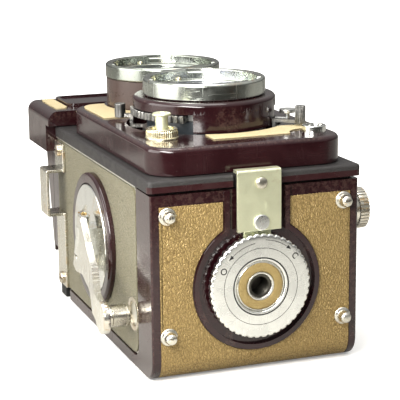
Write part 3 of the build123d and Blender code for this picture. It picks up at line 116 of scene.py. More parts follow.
def add_piece(name, points, faces, material, body, stands_for=()):
    """A smooth closed mesh from points in mm, its faces turned outwards, that rides on a body."""
    mesh = bpy.data.meshes.new(name)
    mesh.from_pydata((np.asarray(points).reshape(-1, 3) * MM).tolist(), [], faces)
    bm = bmesh.new()
    bm.from_mesh(mesh)
    bmesh.ops.remove_doubles(bm, verts=bm.verts, dist=1e-7)
    bmesh.ops.recalc_face_normals(bm, faces=bm.faces)
    bm.to_mesh(mesh)
    bm.free()
    mesh.shade_smooth()
    mesh.materials.append(material)
    piece = bpy.data.objects.new(name, mesh)
    bpy.context.scene.collection.objects.link(piece)
    piece.modifiers.new("even_shading", "WEIGHTED_NORMAL").keep_sharp = True
    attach(piece, body)
    if stands_for:
        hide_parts(*stands_for)
    return piece


def eased(corners, ease, loop=False, steps=5):
    """A polyline whose corners are rounded: each becomes a short quadratic curve.

    A corner is (r, h) or (r, h, its own ease). The ends of an open line stay as they are.
    """
    flat = np.array([corner[:2] for corner in corners], float)
    count = len(flat)
    share = np.linspace(0, 1, steps)[:, None]
    out = []
    for i, corner in enumerate(corners):
        here = flat[i]
        if not loop and i in (0, count - 1):
            out.append(here[None])
            continue
        before, after = flat[i - 1] - here, flat[(i + 1) % count] - here
        to_before, to_after = np.linalg.norm(before), np.linalg.norm(after)
        wanted = corner[2] if len(corner) > 2 else ease
        reach = min(wanted, to_before / NEARLY_HALF, to_after / NEARLY_HALF)
        start, end = here + before / to_before * reach, here + after / to_after * reach
        out.append((1 - share) ** 2 * start + 2 * share * (1 - share) * here + share ** 2 * end)
    return np.concatenate(out)


def turned(name, corners, centre, axis, material, body, stands_for=(), ease=0.15,
           turns=144, shape=None, loop=False):
    """A profile (r, h) carried round an axis.

    point(i, t) = centre + h(i) * axis + r(i) * (cos t * across + sin t * up), and
    shape(t, r, h) may change r and h round the turn, as teeth and notches do. A loop's
    profile closes on itself.
    """
    profile = eased(corners, ease, loop)
    t = np.linspace(0, 2 * pi, turns, endpoint=False)[None, :]
    r = np.repeat(profile[:, :1], turns, 1)
    h = np.repeat(profile[:, 1:2], turns, 1)
    if shape:
        r, h = shape(t, r, h)
    along, across, up = (np.array(v, float) for v in AXES[axis])
    points = (np.asarray(centre, float) + h[..., None] * along
              + (r * np.cos(t))[..., None] * across + (r * np.sin(t))[..., None] * up)
    faces = grid_faces(len(profile), turns, loop, True)
    return add_piece(name, points, faces, material, body, stands_for)


def dressed(node, material, edge):
    """A copy of a CAD node in its place, with joined faces, smooth curves and eased edges."""
    name = node + "_finish"
    bm = bmesh.new()
    bm.from_mesh(frame["nodes"][node].data)
    bmesh.ops.remove_doubles(bm, verts=bm.verts, dist=JOINED)
    mesh = bpy.data.meshes.new(name)
    bm.to_mesh(mesh)
    bm.free()
    mesh.shade_smooth()
    mesh.set_sharp_from_angle(angle=FACET_ANGLE)
    mesh.materials.append(material)
    piece = bpy.data.objects.new(name, mesh)
    bpy.context.scene.collection.objects.link(piece)
    bevel = piece.modifiers.new("eased_edges", "BEVEL")
    bevel.width = edge * MM
    bevel.segments = 2
    bevel.limit_method = "ANGLE"
    bevel.angle_limit = FACET_ANGLE
    bevel.use_clamp_overlap = True
    piece.modifiers.new("even_shading", "WEIGHTED_NORMAL").keep_sharp = True
    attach(piece, BODY_OF[node])
    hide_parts(node)


# ---- shader node groups --------------------------------------------------------
def put(tree, kind, inputs=(), **settings):
    """A node of that kind; inputs is a dict of socket to value or output socket."""
    node = tree.nodes.new(kind)
    for key, value in settings.items():
        setattr(node, key, value)
    for key, value in dict(inputs).items():
        if isinstance(value, bpy.types.NodeSocket):
            tree.links.new(value, node.inputs[key])
        else:
            node.inputs[key].default_value = value
    return node


def group(name, inputs, outputs):
    """An empty node group with value or vector inputs and value outputs; its two end nodes too."""
    tree = bpy.data.node_groups.new(name, "ShaderNodeTree")
    for key, value in inputs.items():
        kind = "NodeSocketFloat" if isinstance(value, (int, float)) else "NodeSocketVector"
        tree.interface.new_socket(key, in_out="INPUT", socket_type=kind).default_value = value
    for key in outputs:
        tree.interface.new_socket(key, in_out="OUTPUT", socket_type="NodeSocketFloat")
    return tree, tree.nodes.new("NodeGroupInput").outputs, tree.nodes.new("NodeGroupOutput")


def place(tree, name, **inputs):
    """Puts a finished group into a material with its own values; returns its outputs."""
    node = tree.nodes.new("ShaderNodeGroup")
    node.node_tree = bpy.data.node_groups[name]
    for key, value in inputs.items():
        node.inputs[key].default_value = value
    return node.outputs


def maths(tree, operation, a, b=0.5, clamp=False):
    """One math node on two values."""
    return put(tree, "ShaderNodeMath", {0: a, 1: b}, operation=operation, use_clamp=clamp).outputs[0]


def spread(tree, value, low_in, high_in, low_out=0.0, high_out=1.0):
    """A value mapped smoothly from one range to another."""
    return put(tree, "ShaderNodeMapRange", {"Value": value, 1: low_in, 2: high_in, 3: low_out,
                                            4: high_out}, interpolation_type="SMOOTHSTEP").outputs[0]


def here_on(tree):
    """Place on the piece, in its own metres."""
    return put(tree, "ShaderNodeTexCoord").outputs["Object"]


def vectors(tree, operation, a, b):
    """One vector math node on two vectors."""
    return put(tree, "ShaderNodeVectorMath", {0: a, 1: b}, operation=operation).outputs[0]


def noise(tree, vector, scale, detail, **more):
    """Value of a noise texture."""
    inputs = {"Vector": vector, "Scale": scale, "Detail": detail, **more}
    return put(tree, "ShaderNodeTexNoise", inputs).outputs[0]


def per_metre(tree, size_mm):
    """How many steps of a size in mm go into a metre."""
    return maths(tree, "DIVIDE", 1.0 / MM, size_mm)


def pebble_group():
    """Leather pebbles: smooth cells on a warped, stretched grid, with creases between them."""
    dome_reach, crease_reach = 0.34, 0.13       # shares of a cell, from its edge inwards
    warp_share, fine_scale, fine_share = 1.6, 4.5, 0.35
    tree, given, out = group("pebbles", {"Size": 0.8, "Stretch": (1.0, 1.0, 1.0), "Warp": 0.5},
                             ("Height", "Crease", "Tone"))
    here = here_on(tree)
    stretched = vectors(tree, "MULTIPLY", here, given["Stretch"])
    scale = per_metre(tree, given["Size"])
    wobble = put(tree, "ShaderNodeTexNoise", {"Vector": stretched, "Scale": scale, "Detail": 2.0})
    shift = vectors(tree, "SUBTRACT", wobble.outputs["Color"], (0.5, 0.5, 0.5))
    reach = maths(tree, "MULTIPLY", maths(tree, "DIVIDE", given["Warp"], scale), warp_share)
    shift = put(tree, "ShaderNodeVectorMath", {0: shift, "Scale": reach}, operation="SCALE").outputs[0]
    warped = vectors(tree, "ADD", stretched, shift)
    edge = put(tree, "ShaderNodeTexVoronoi", {"Vector": warped, "Scale": scale},
               feature="DISTANCE_TO_EDGE").outputs["Distance"]
    fine = noise(tree, stretched, maths(tree, "MULTIPLY", scale, fine_scale), 3.0)
    height = maths(tree, "ADD", spread(tree, edge, 0.0, dome_reach),
                   maths(tree, "MULTIPLY", fine, fine_share))
    tree.links.new(height, out.inputs["Height"])
    tree.links.new(spread(tree, edge, 0.0, crease_reach, 1.0, 0.0), out.inputs["Crease"])
    tree.links.new(spread(tree, noise(tree, here, 55.0, 4.0), 0.3, 0.7), out.inputs["Tone"])


def handling_group():
    """Handled surface: broad smudges, fine scratches in two directions and specks of dust."""
    scratches = ((0.6, (70.0, 3000.0, 900.0)), (-0.9, (2600.0, 90.0, 1200.0)))     # turn, stretch
    dust_scale = 900.0
    tree, given, out = group("handling", {"Size": 12.0}, ("Smudge", "Scratch", "Dust"))
    here = here_on(tree)
    smudge = noise(tree, here, per_metre(tree, given["Size"]), 5.0, Roughness=0.6, Distortion=0.8)
    lines = []
    for turn, stretch in scratches:
        slanted = put(tree, "ShaderNodeMapping", {"Vector": here, "Rotation": (turn, turn, turn),
                                                  "Scale": stretch}).outputs[0]
        lines.append(spread(tree, noise(tree, slanted, 1.0, 1.0), 0.66, 0.74))
    dust = put(tree, "ShaderNodeTexVoronoi", {"Vector": here, "Scale": dust_scale}).outputs["Distance"]
    tree.links.new(spread(tree, smudge, 0.35, 0.68), out.inputs["Smudge"])
    tree.links.new(maths(tree, "MAXIMUM", lines[0], lines[1]), out.inputs["Scratch"])
    tree.links.new(spread(tree, dust, 0.02, 0.09, 1.0, 0.0), out.inputs["Dust"])


def wear_group():
    """Worn places: convex edges broken up by noise, joined with rubbed patches."""
    broad_share = 0.22
    tree, given, out = group("wear", {"Size": 3.0, "Edge": 0.5, "Patch": 0.5}, ("Mask",))
    here = here_on(tree)
    scale = per_metre(tree, given["Size"])
    broken = noise(tree, here, scale, 6.0, Roughness=0.65)
    broad = noise(tree, here, maths(tree, "MULTIPLY", scale, broad_share), 3.0)
    convex = spread(tree, put(tree, "ShaderNodeNewGeometry").outputs["Pointiness"], 0.51, 0.62)
    edge = maths(tree, "MULTIPLY", convex, spread(tree, broken, 0.42, 0.6))
    patch = maths(tree, "MULTIPLY", spread(tree, broad, 0.56, 0.72), spread(tree, broken, 0.44, 0.66))
    mask = maths(tree, "ADD", maths(tree, "MULTIPLY", edge, given["Edge"]),
                 maths(tree, "MULTIPLY", patch, given["Patch"]), clamp=True)
    tree.links.new(mask, out.inputs["Mask"])


def lathe_group():
    """Fine turning marks: noise of the distance from an axis, which Keep leaves out."""
    tree, given, out = group("lathe_marks", {"Centre": (0.0, 0.0, 0.0), "Keep": (1.0, 1.0, 1.0),
                                             "Pitch": 0.12}, ("Height",))
    away = vectors(tree, "SUBTRACT", here_on(tree), given["Centre"])
    flat = vectors(tree, "MULTIPLY", away, given["Keep"])
    distance = put(tree, "ShaderNodeVectorMath", {0: flat}, operation="LENGTH").outputs["Value"]
    steps = maths(tree, "MULTIPLY", distance, per_metre(tree, given["Pitch"]))
    marks = put(tree, "ShaderNodeTexNoise", {"W": steps, "Scale": 1.0, "Detail": 3.0},
                noise_dimensions="1D").outputs[0]
    tree.links.new(marks, out.inputs["Height"])


def brush_group():
    """Straight brushing: noise drawn out along one direction."""
    tree, given, out = group("brushing", {"Stretch": (1.0, 1.0, 1.0)}, ("Height",))
    drawn = vectors(tree, "MULTIPLY", here_on(tree), given["Stretch"])
    tree.links.new(noise(tree, drawn, 1.0, 3.0), out.inputs["Height"])


for make_group in (pebble_group, handling_group, wear_group, lathe_group, brush_group):
    make_group()


# ---- materials -------------------------------------------------------------------
DUST_ENAMEL, DUST_PALE = (0.45, 0.42, 0.38), (0.3, 0.29, 0.27)
DULLED, SHADED, DARK_GRAIN = 0.84, 0.80, 1.7     # factors on a finish's own colour


def material(name, **sockets):
    """A material with one Principled shader; returns it, its tree and its shader."""
    made = bpy.data.materials.new(name)
    made.use_nodes = True
    tree = made.node_tree
    shader = tree.nodes["Principled BSDF"]
    for key, value in sockets.items():
        shader.inputs[key.replace("_", " ")].default_value = value
    return made, tree, shader


def mixed(tree, mask, first, second):
    """Two colours mixed by a mask."""
    node = put(tree, "ShaderNodeMix", data_type="RGBA")
    tree.links.new(mask, node.inputs[0])
    for index, colour in ((6, first), (7, second)):
        if isinstance(colour, bpy.types.NodeSocket):
            tree.links.new(colour, node.inputs[index])
        else:
            node.inputs[index].default_value = (*colour, 1.0)
    return node.outputs[2]


def share(tree, mask, amount):
    """A mask at part of its strength."""
    return maths(tree, "MULTIPLY", mask, amount)


def raised(tree, value, mask, amount):
    """A value that grows by an amount where the mask is full."""
    return maths(tree, "ADD", value, share(tree, mask, amount))


def bumped(tree, shader, height, depth_mm):
    """Raises a height of so many mm into the shader's normal."""
    bump = put(tree, "ShaderNodeBump", {"Height": height, "Distance": depth_mm * MM, "Strength": 1.0})
    tree.links.new(bump.outputs[0], shader.inputs["Normal"])


def enamel(name, deep, light, gloss, peel=0.004, worn=(0.20, 0.13, 0.10), wear=0.12, coat=0.5):
    """Stoved enamel: deep and lighter tone, smudged gloss, orange peel, edges rubbed to metal."""
    made, tree, shader = material(name, Coat_Weight=coat, Coat_Roughness=0.05, Specular_IOR_Level=0.35)
    marks = place(tree, "handling", Size=14.0)
    rubbed = place(tree, "wear", Size=1.4, Edge=wear, Patch=0.0)["Mask"]
    colour = mixed(tree, marks["Smudge"], deep, light)
    colour = mixed(tree, share(tree, marks["Dust"], 0.16), colour, DUST_ENAMEL)
    tree.links.new(mixed(tree, rubbed, colour, worn), shader.inputs["Base Color"])
    rough = spread(tree, marks["Smudge"], 0.0, 1.0, gloss, gloss + 0.12)
    rough = raised(tree, rough, marks["Scratch"], 0.10)
    tree.links.new(raised(tree, rough, rubbed, 0.2), shader.inputs["Roughness"])
    waves = place(tree, "pebbles", Size=1.1, Warp=0.8)["Height"]
    bumped(tree, shader, waves, peel)
    return made


def grained_enamel(name, dark, pale, flange):
    """Fine wrinkle enamel, with a smooth enamelled flange on the base side behind the plate."""
    made, tree, shader = material(name, Specular_IOR_Level=0.5)
    grain = place(tree, "pebbles", Size=0.22, Warp=0.9)
    marks = place(tree, "handling", Size=6.0)
    where = put(tree, "ShaderNodeSeparateXYZ", {0: here_on(tree)})
    behind = spread(tree, where.outputs["Y"], (FRAME_SEAM_Y - 0.05) * MM, (FRAME_SEAM_Y + 0.05) * MM)
    below = spread(tree, where.outputs["Z"], FLANGE_TOP * MM, (FLANGE_TOP + 0.2) * MM, 1.0, 0.0)
    smooth = maths(tree, "MULTIPLY", behind, below)
    colour = mixed(tree, grain["Height"], dark, pale)
    tree.links.new(mixed(tree, smooth, colour, flange), shader.inputs["Base Color"])
    rough = raised(tree, 0.42, marks["Smudge"], 0.15)
    tree.links.new(maths(tree, "SUBTRACT", rough, share(tree, smooth, 0.22)),
                   shader.inputs["Roughness"])
    bumped(tree, shader, maths(tree, "MULTIPLY", grain["Height"], maths(tree, "SUBTRACT", 1.0, smooth)),
           0.035)
    return made


def leather(name, hollow, crown, size, stretch, depth, gloss, metallic=0.0, sheen=0.0):
    """Pebbled covering: dark creases, lighter crowns, broad uneven tone and rubbed gloss.

    size is a pebble's width in mm before it is stretched, and depth the creases' in mm.
    """
    made, tree, shader = material(name, Metallic=metallic, Specular_IOR_Level=0.5, Sheen_Weight=sheen,
                                  Sheen_Roughness=0.4)
    grain = place(tree, "pebbles", Size=size, Stretch=stretch, Warp=0.7)
    marks = place(tree, "handling", Size=9.0)
    colour = mixed(tree, share(tree, grain["Crease"], 0.85), crown, hollow)
    shade = tuple(channel * SHADED for channel in crown)
    colour = mixed(tree, share(tree, grain["Tone"], 0.45), colour, shade)
    colour = mixed(tree, share(tree, marks["Dust"], 0.25), colour, hollow)
    tree.links.new(colour, shader.inputs["Base Color"])
    rough = raised(tree, gloss, grain["Crease"], 0.25)
    tree.links.new(raised(tree, rough, marks["Smudge"], 0.10), shader.inputs["Roughness"])
    bumped(tree, shader, grain["Height"], depth)
    return made


def metal(name, colour, rough, worn=None, wear=(0.6, 0.5), size=2.5, fine=0.0015, lathe=None,
          brush=None):
    """Plated or bare metal: smudged gloss, worn places, turning or brushing marks.

    wear is how strongly edges and patches wear through to the worn colour, over areas of
    size mm. fine is the depth of the marks in mm. lathe is an axis point and the directions
    across it, and brush is how much each direction is drawn together.
    """
    made, tree, shader = material(name, Metallic=1.0)
    marks = place(tree, "handling", Size=7.0)
    dulled = tuple(channel * DULLED for channel in colour)
    tone = mixed(tree, share(tree, marks["Smudge"], 0.5), colour, dulled)
    if worn:
        rubbed = place(tree, "wear", Size=size, Edge=wear[0], Patch=wear[1])["Mask"]
        tone = mixed(tree, rubbed, tone, worn)
    tree.links.new(tone, shader.inputs["Base Color"])
    gloss = raised(tree, rough, marks["Smudge"], 0.10)
    tree.links.new(raised(tree, gloss, marks["Scratch"], 0.12), shader.inputs["Roughness"])
    if lathe:
        centre, keep = lathe
        height = place(tree, "lathe_marks", Centre=tuple(v * MM for v in centre), Keep=keep)["Height"]
    elif brush:
        height = place(tree, "brushing", Stretch=brush)["Height"]
    else:
        height = place(tree, "pebbles", Size=0.25, Warp=1.0)["Height"]
    bumped(tree, shader, height, fine)
    return made


def plain_dark(name, paint, rough):
    """Matt black interior paint with a fine grain and a little dust."""
    made, tree, shader = material(name, Specular_IOR_Level=0.3)
    marks = place(tree, "handling", Size=5.0)
    grain = place(tree, "pebbles", Size=0.3, Warp=1.0)["Height"]
    lit = tuple(channel * DARK_GRAIN for channel in paint)
    tone = mixed(tree, grain, paint, lit)
    colour = mixed(tree, share(tree, marks["Dust"], 0.3), tone, DUST_PALE)
    tree.links.new(colour, shader.inputs["Base Color"])
    tree.links.new(raised(tree, rough, marks["Smudge"], 0.15), shader.inputs["Roughness"])
    bumped(tree, shader, grain, 0.01)
    return made


def lens_glass(name, tint):
    """Coated glass: clear, with faint dust and cleaning marks in its gloss."""
    made, tree, shader = material(name, Transmission_Weight=0.92, IOR=1.6, Coat_Weight=0.6,
                                  Coat_Tint=(*tint, 1.0), Coat_Roughness=0.02)
    marks = place(tree, "handling", Size=5.0)
    tone = mixed(tree, share(tree, marks["Dust"], 0.4), tint, (0.85, 0.85, 0.82))
    tree.links.new(tone, shader.inputs["Base Color"])
    tree.links.new(raised(tree, 0.01, marks["Smudge"], 0.03), shader.inputs["Roughness"])
    return made


def ground_glass(name):
    """Finely ground screen: pale, frosted."""
    made, tree, shader = material(name, Transmission_Weight=0.35, IOR=1.5)
    grain = place(tree, "pebbles", Size=0.12, Warp=1.0)["Height"]
    frosted = mixed(tree, grain, (0.62, 0.65, 0.62), (0.78, 0.80, 0.76))
    tree.links.new(frosted, shader.inputs["Base Color"])
    tree.links.new(raised(tree, 0.4, grain, 0.2), shader.inputs["Roughness"])
    bumped(tree, shader, grain, 0.006)
    return made


BEHIND_PLATE = 2.1      # mm of the frame's depth behind its front plate
FRAME_SEAM_Y = high("front_frame")[1] - BEHIND_PLATE
FLANGE_TOP = 1.2        # mm above the base, where the frame's smooth flange ends
BRASS = (0.62, 0.40, 0.17)
COPPER = (0.58, 0.30, 0.13)
ACROSS_X = (0.0, 1.0, 1.0)
ACROSS_Y = (1.0, 0.0, 1.0)
ACROSS_Z = (1.0, 1.0, 0.0)
EVEN = (1.0, 1.0, 1.0)

BURGUNDY = enamel("burgundy_enamel", (0.0140, 0.0028, 0.0040), (0.0200, 0.0044, 0.0058), 0.14)
TUBE_ENAMEL = enamel("tube_enamel", (0.045, 0.027, 0.022), (0.055, 0.035, 0.030), 0.24, coat=0.3)
SHUTTER_PAINT = enamel("shutter_paint", (0.022, 0.028, 0.034), (0.034, 0.042, 0.050), 0.30,
                       worn=(0.35, 0.36, 0.36), coat=0.2)
SPOOL_BLACK = enamel("spool_black", (0.012, 0.012, 0.012), (0.022, 0.022, 0.021), 0.35,
                     worn=(0.4, 0.38, 0.34))
FRAME_GRAIN = grained_enamel("frame_grain", dark=(0.008, 0.007, 0.007), pale=(0.030, 0.027, 0.026),
                             flange=(0.024, 0.006, 0.007))
BASE_LEATHER = leather("base_leather", (0.110, 0.064, 0.018), (0.375, 0.262, 0.098), size=0.86,
                       stretch=(1.25, 0.75, 1.0), depth=0.14, gloss=0.27, metallic=0.35)
SIDE_LEATHER = leather("side_leather", (0.042, 0.037, 0.021), (0.190, 0.172, 0.100), size=0.78,
                       stretch=(1.0, 1.15, 0.9), depth=0.20, gloss=0.42, sheen=0.1)
FRONT_LEATHER = leather("front_leather", (0.42, 0.33, 0.165), (0.66, 0.56, 0.33), size=0.34,
                        stretch=EVEN, depth=0.035, gloss=0.42, metallic=0.15)
WASHER_LEATHER = leather("washer_leather", (0.19, 0.125, 0.042), (0.42, 0.31, 0.12), size=0.5,
                         stretch=EVEN, depth=0.07, gloss=0.36, metallic=0.30)
CHROME_TAKING = metal("taking_ring_chrome", (0.55, 0.58, 0.53), 0.16, COPPER, (0.35, 0.60), 4.5,
                      fine=0.0012, lathe=(middle("taking_bayonet"), ACROSS_Y))
# painted shade: the viewing ring's chrome is the taking ring's chrome made darker
CHROME_VIEWING_PAINTED_SHADE = metal("viewing_ring_chrome_painted_shade", (0.36, 0.385, 0.345), 0.16, BRASS, (0.4, 0.45), 4.5,
                       fine=0.0012, lathe=(middle("viewing_bayonet"), ACROSS_Y))
CHROME = metal("bright_chrome", (0.78, 0.79, 0.76), 0.10, BRASS, (0.25, 0.2), 2.0)
NICKEL = metal("warm_nickel", (0.74, 0.72, 0.64), 0.20, BRASS, (0.8, 0.7), 2.2)
ARM_NICKEL = metal("arm_nickel", (0.83, 0.82, 0.75), 0.17, BRASS, (0.9, 0.75), 3.2)
LUG_NICKEL = metal("lug_nickel", (0.66, 0.60, 0.50), 0.24, (0.42, 0.28, 0.13), (0.9, 0.9), 2.6)
COLLAR_NICKEL = metal("collar_nickel", (0.66, 0.62, 0.44), 0.20, (0.45, 0.31, 0.12), (0.7, 0.8), 1.6)
STRAP_NICKEL = metal("strap_nickel", (0.84, 0.86, 0.62), 0.44, (0.55, 0.47, 0.28), (0.35, 0.35), 1.6,
                     fine=0.002, brush=(2600.0, 900.0, 2600.0))
LOCK_ALUMINIUM = metal("lock_aluminium", (0.88, 0.89, 0.86), 0.22, fine=0.0016,
                       lathe=((0, 0, 0), ACROSS_Z))
ALUMINIUM = metal("satin_aluminium", (0.80, 0.81, 0.79), 0.26, (0.52, 0.50, 0.46), (0.5, 0.3), 1.8)
KNOB_METAL = metal("knob_metal", (0.60, 0.57, 0.48), 0.24, (0.36, 0.26, 0.13), (0.3, 0.9), 1.5)
BUSH_CHROME = metal("bush_chrome", (0.80, 0.79, 0.73), 0.16, BRASS, (0.4, 0.2), 1.2, fine=0.001,
                    lathe=((0, 0, 0), ACROSS_Z))
HUB_CHROME = metal("hub_chrome", (0.84, 0.85, 0.82), 0.12, BRASS, (0.2, 0.25), 3.0, fine=0.0012,
                   lathe=(middle("crank_hub"), ACROSS_X))
TRIM_METAL = metal("bright_edge", (0.82, 0.81, 0.74), 0.28)
DARK_NICKEL = metal("dark_nickel", (0.16, 0.16, 0.155), 0.30, (0.62, 0.60, 0.55), (1.0, 0.15), 0.9)
THREAD_STEEL = metal("thread_steel", (0.10, 0.095, 0.08), 0.34)
STEEL = metal("spring_steel", (0.50, 0.50, 0.50), 0.25, brush=(900.0, 2400.0, 2400.0))
PLAIN_BRASS = metal("plain_brass", (0.70, 0.50, 0.22), 0.28)
MIRROR = metal("front_mirror", (0.90, 0.90, 0.90), 0.02, fine=0.0)
MATT_BLACK = plain_dark("matt_black", (0.012, 0.012, 0.012), 0.55)
LENS_BLACK = plain_dark("lens_black", (0.008, 0.008, 0.009), 0.42)
MARKING = plain_dark("marking_black", (0.010, 0.010, 0.010), 0.5)
GLASS_TAKING = lens_glass("taking_glass_coating", (0.78, 0.80, 0.96))
GLASS_VIEWING = lens_glass("viewing_glass_coating", (0.86, 0.88, 0.92))
SCREEN = ground_glass("screen_glass")


# ---- base fittings -----------------------------------------------------------------
TRIPOD_AXIS = (0, 0, 0)
RING_FACE, RING_TOP = low("lock_ring")[2], high("lock_ring")[2]
RING_R = high("lock_ring")[0]
BUSH_FACE, BUSH_TOP = low("tripod_bush")[2], high("tripod_bush")[2]
BUSH_R = high("tripod_bush")[0]
RING_CLEARANCE = 0.06
LOCK_TEETH, TOOTH_DEPTH, TOOTH_BAND = 44, 0.26, 0.9
GROOVE_IN, GROOVE_OUT, GROOVE_DEPTH = 3.95, 6.45, 0.5   # where the leather washer lies
WELL_R, WELL_DEPTH = 3.15, 6.4                          # hole in the bush that holds the thread
THREAD_R, THREAD_DEPTH, THREAD_PITCH, THREAD_RIDGES = 2.52, 0.5, 1.27, 9
THREAD_OUT, THREAD_START, THREAD_FLOOR = WELL_R - 0.01, 0.6, 0.3


def lock_ring():
    """Domed flat ring with rounded serrations cut into its rim."""
    bore = BUSH_R + RING_CLEARANCE

    def teeth(t, r, h):
        wave = np.clip(0.15 + 1.3 * np.cos(LOCK_TEETH * t), 0, 1) ** 2
        return r - TOOTH_DEPTH * wave * np.clip((r - (RING_R - TOOTH_BAND)) / 0.5, 0, 1), h

    corners = [(bore, RING_TOP), (RING_R - 0.35, RING_TOP), (RING_R, RING_TOP - 0.3, 0.2),
               (RING_R, RING_FACE + 0.35, 0.3), (RING_R - 0.5, RING_FACE + 0.03, 0.3),
               (RING_R - 1.4, RING_FACE, 0.3), (bore + 0.3, RING_FACE, 0.2),
               (bore, RING_FACE + 0.3, 0.2)]
    turned("lock_ring_serrated", corners, TRIPOD_AXIS, "z", LOCK_ALUMINIUM, "lock_ring",
           ("lock_ring",), turns=LOCK_TEETH * 12, shape=teeth, loop=True)


def tripod_bush():
    """Bush with a rolled face, and the ridges of its tripod thread in blackened steel."""
    bottom = BUSH_FACE + WELL_DEPTH
    groove_floor = BUSH_FACE + GROOVE_DEPTH
    corners = [(BUSH_R, BUSH_TOP), (BUSH_R, BUSH_FACE + 0.25, 0.2), (BUSH_R - 0.35, BUSH_FACE, 0.2),
               (GROOVE_OUT + 0.05, BUSH_FACE, 0.1), (GROOVE_OUT, groove_floor),
               (GROOVE_IN, groove_floor), (GROOVE_IN - 0.05, BUSH_FACE, 0.1),
               (WELL_R + 0.3, BUSH_FACE, 0.2), (WELL_R, groove_floor), (WELL_R, bottom + 0.4),
               (AXIS_R, bottom + 0.4), (AXIS_R, BUSH_TOP)]
    turned("tripod_bush_turned", corners, TRIPOD_AXIS, "z", BUSH_CHROME, "back_cover",
           ("tripod_bush",), ease=0.1, turns=96, loop=True)
    ridges = [(THREAD_R + THREAD_DEPTH * (i % 2), BUSH_FACE + THREAD_START + i * THREAD_PITCH / 2, 0.12)
              for i in range(THREAD_RIDGES)]
    corners = [(THREAD_OUT, BUSH_FACE + 0.45), *ridges, (THREAD_R - 0.02, bottom), (AXIS_R, bottom),
               (AXIS_R, bottom + THREAD_FLOOR), (THREAD_OUT, bottom + THREAD_FLOOR)]
    turned("tripod_thread", corners, TRIPOD_AXIS, "z", THREAD_STEEL, "back_cover",
           ease=0.1, turns=96, loop=True)


def socket_disc():
    """Leather washer let into the bush's face, its edges turned down."""
    face, edge, buried = BUSH_FACE - 0.02, BUSH_FACE + 0.12, BUSH_FACE + 0.45
    inner, outer = GROOVE_IN + 0.05, GROOVE_OUT

    def slack(t, r, h):
        """A slight waviness, on the washer's face alone."""
        return r, h + 0.03 * np.sin(7 * t) * (h < BUSH_FACE + 0.2)

    corners = [(inner, buried), (inner, edge), (inner + 0.5, face, 0.5), (outer - 0.45, face, 0.5),
               (outer, edge), (outer, buried)]
    turned("socket_disc_leather", corners, TRIPOD_AXIS, "z", WASHER_LEATHER, "back_cover",
           ("socket_disc",), ease=0.3, turns=128, shape=slack, loop=True)


MARK_FACE, MARK_ROOT = RING_FACE - 0.012, RING_FACE + 0.05
ARC_STEP = 1.5              # degrees
LETTER_IN, LETTER_OUT = 0.62, 0.92
ARROW_LENGTH, ARROW_HALF = 1.5, 0.55


def inlay(name, centres, rim, inner, outer, whole):
    """Black strip of the lock ring, from inner to outer along the rim's directions."""
    rows = [np.c_[centres + rim * r, np.full(len(rim), h)]
            for r, h in ((inner, MARK_ROOT), (inner, MARK_FACE), (outer, MARK_FACE), (outer, MARK_ROOT))]
    if whole:
        rows = [row[:-1] for row in rows]
    points = np.stack(rows, 1)
    faces = grid_faces(len(points), 4, whole, True)
    if not whole:
        last = (len(points) - 1) * 4
        faces += [[3, 2, 1, 0], [last, last + 1, last + 2, last + 3]]
    add_piece(name, points, faces, MARKING, "lock_ring")


def band(name, inner, outer, start=0.0, end=360.0):
    """Circle or arc about the tripod's axis, from start to end degrees."""
    t = np.linspace(radians(start), radians(end), max(12, int((end - start) / ARC_STEP)))
    rim = np.stack([np.cos(t), np.sin(t)], 1)
    inlay(name, np.zeros(2), rim, inner, outer, end - start >= 360)


def arrowhead(name, r, angle, way):
    """Triangle at an arc's end that points along the arc: way is 1 or -1."""
    t = radians(angle)
    along, out = np.array([-sin(t), cos(t), 0]) * way, np.array([cos(t), sin(t), 0])
    at = out * r
    flat = np.array([at + along * ARROW_LENGTH, at + out * ARROW_HALF, at - out * ARROW_HALF])
    points = np.concatenate([flat + [0, 0, MARK_FACE], flat + [0, 0, MARK_ROOT]])
    faces = [[0, 1, 2], [5, 4, 3], [0, 3, 4, 1], [1, 4, 5, 2], [2, 5, 3, 0]]
    add_piece(name, points, faces, MARKING, "lock_ring")


def letter(name, r, angle, opening):
    """Round letter that stands outwards: an O, or a C with an opening of so many degrees."""
    place_at = np.array([cos(radians(angle)), sin(radians(angle))]) * r
    gap = radians(opening / 2)
    t = np.linspace(gap, 2 * pi - gap, 48) + radians(angle + 90)
    rim = np.stack([np.cos(t), np.sin(t)], 1)
    inlay(name, place_at, rim, LETTER_IN, LETTER_OUT, opening == 0)


def ring_marks():
    """Black marks let into the lock ring: two circles, two arrows and the letters O and C."""
    band("ring_circle_thin", 10.56, 10.70)
    band("ring_circle_bold", 7.72, 8.1)
    band("ring_arc_open", 12.1, 12.26, -132, -98)
    arrowhead("ring_arrow_open", 12.18, -132, -1)
    letter("ring_letter_open", 11.9, -154, 0)
    band("ring_arc_close", 12.75, 12.91, -84, -54)
    arrowhead("ring_arrow_close", 12.83, -54, 1)
    letter("ring_letter_close", 12.5, -37, 90)


FOOT_SHANK, FOOT_NECK, FOOT_PIN = 1.2, 1.7, 1.6
FLANGE_RIM, FLANGE_FACE, NECK_BASE = -0.45, -0.75, -0.85


def foot(name, x, y, flange, top, bottom, stands_for):
    """A wide flange and a domed pin, on a shank that goes through the cover."""
    corners = [(AXIS_R, top), (FOOT_SHANK, top), (FOOT_SHANK, 0.2), (flange, 0.1),
               (flange, FLANGE_RIM, 0.3), (flange - 0.35, FLANGE_FACE, 0.3),
               (FOOT_NECK, NECK_BASE, 0.2), (FOOT_PIN, bottom + 0.8, 0.5), (1.0, bottom + 0.12, 0.6),
               (AXIS_R, bottom)]
    turned(name, corners, (x, y, 0), "z", NICKEL, "back_cover", stands_for,
           ease=0.2, turns=64)


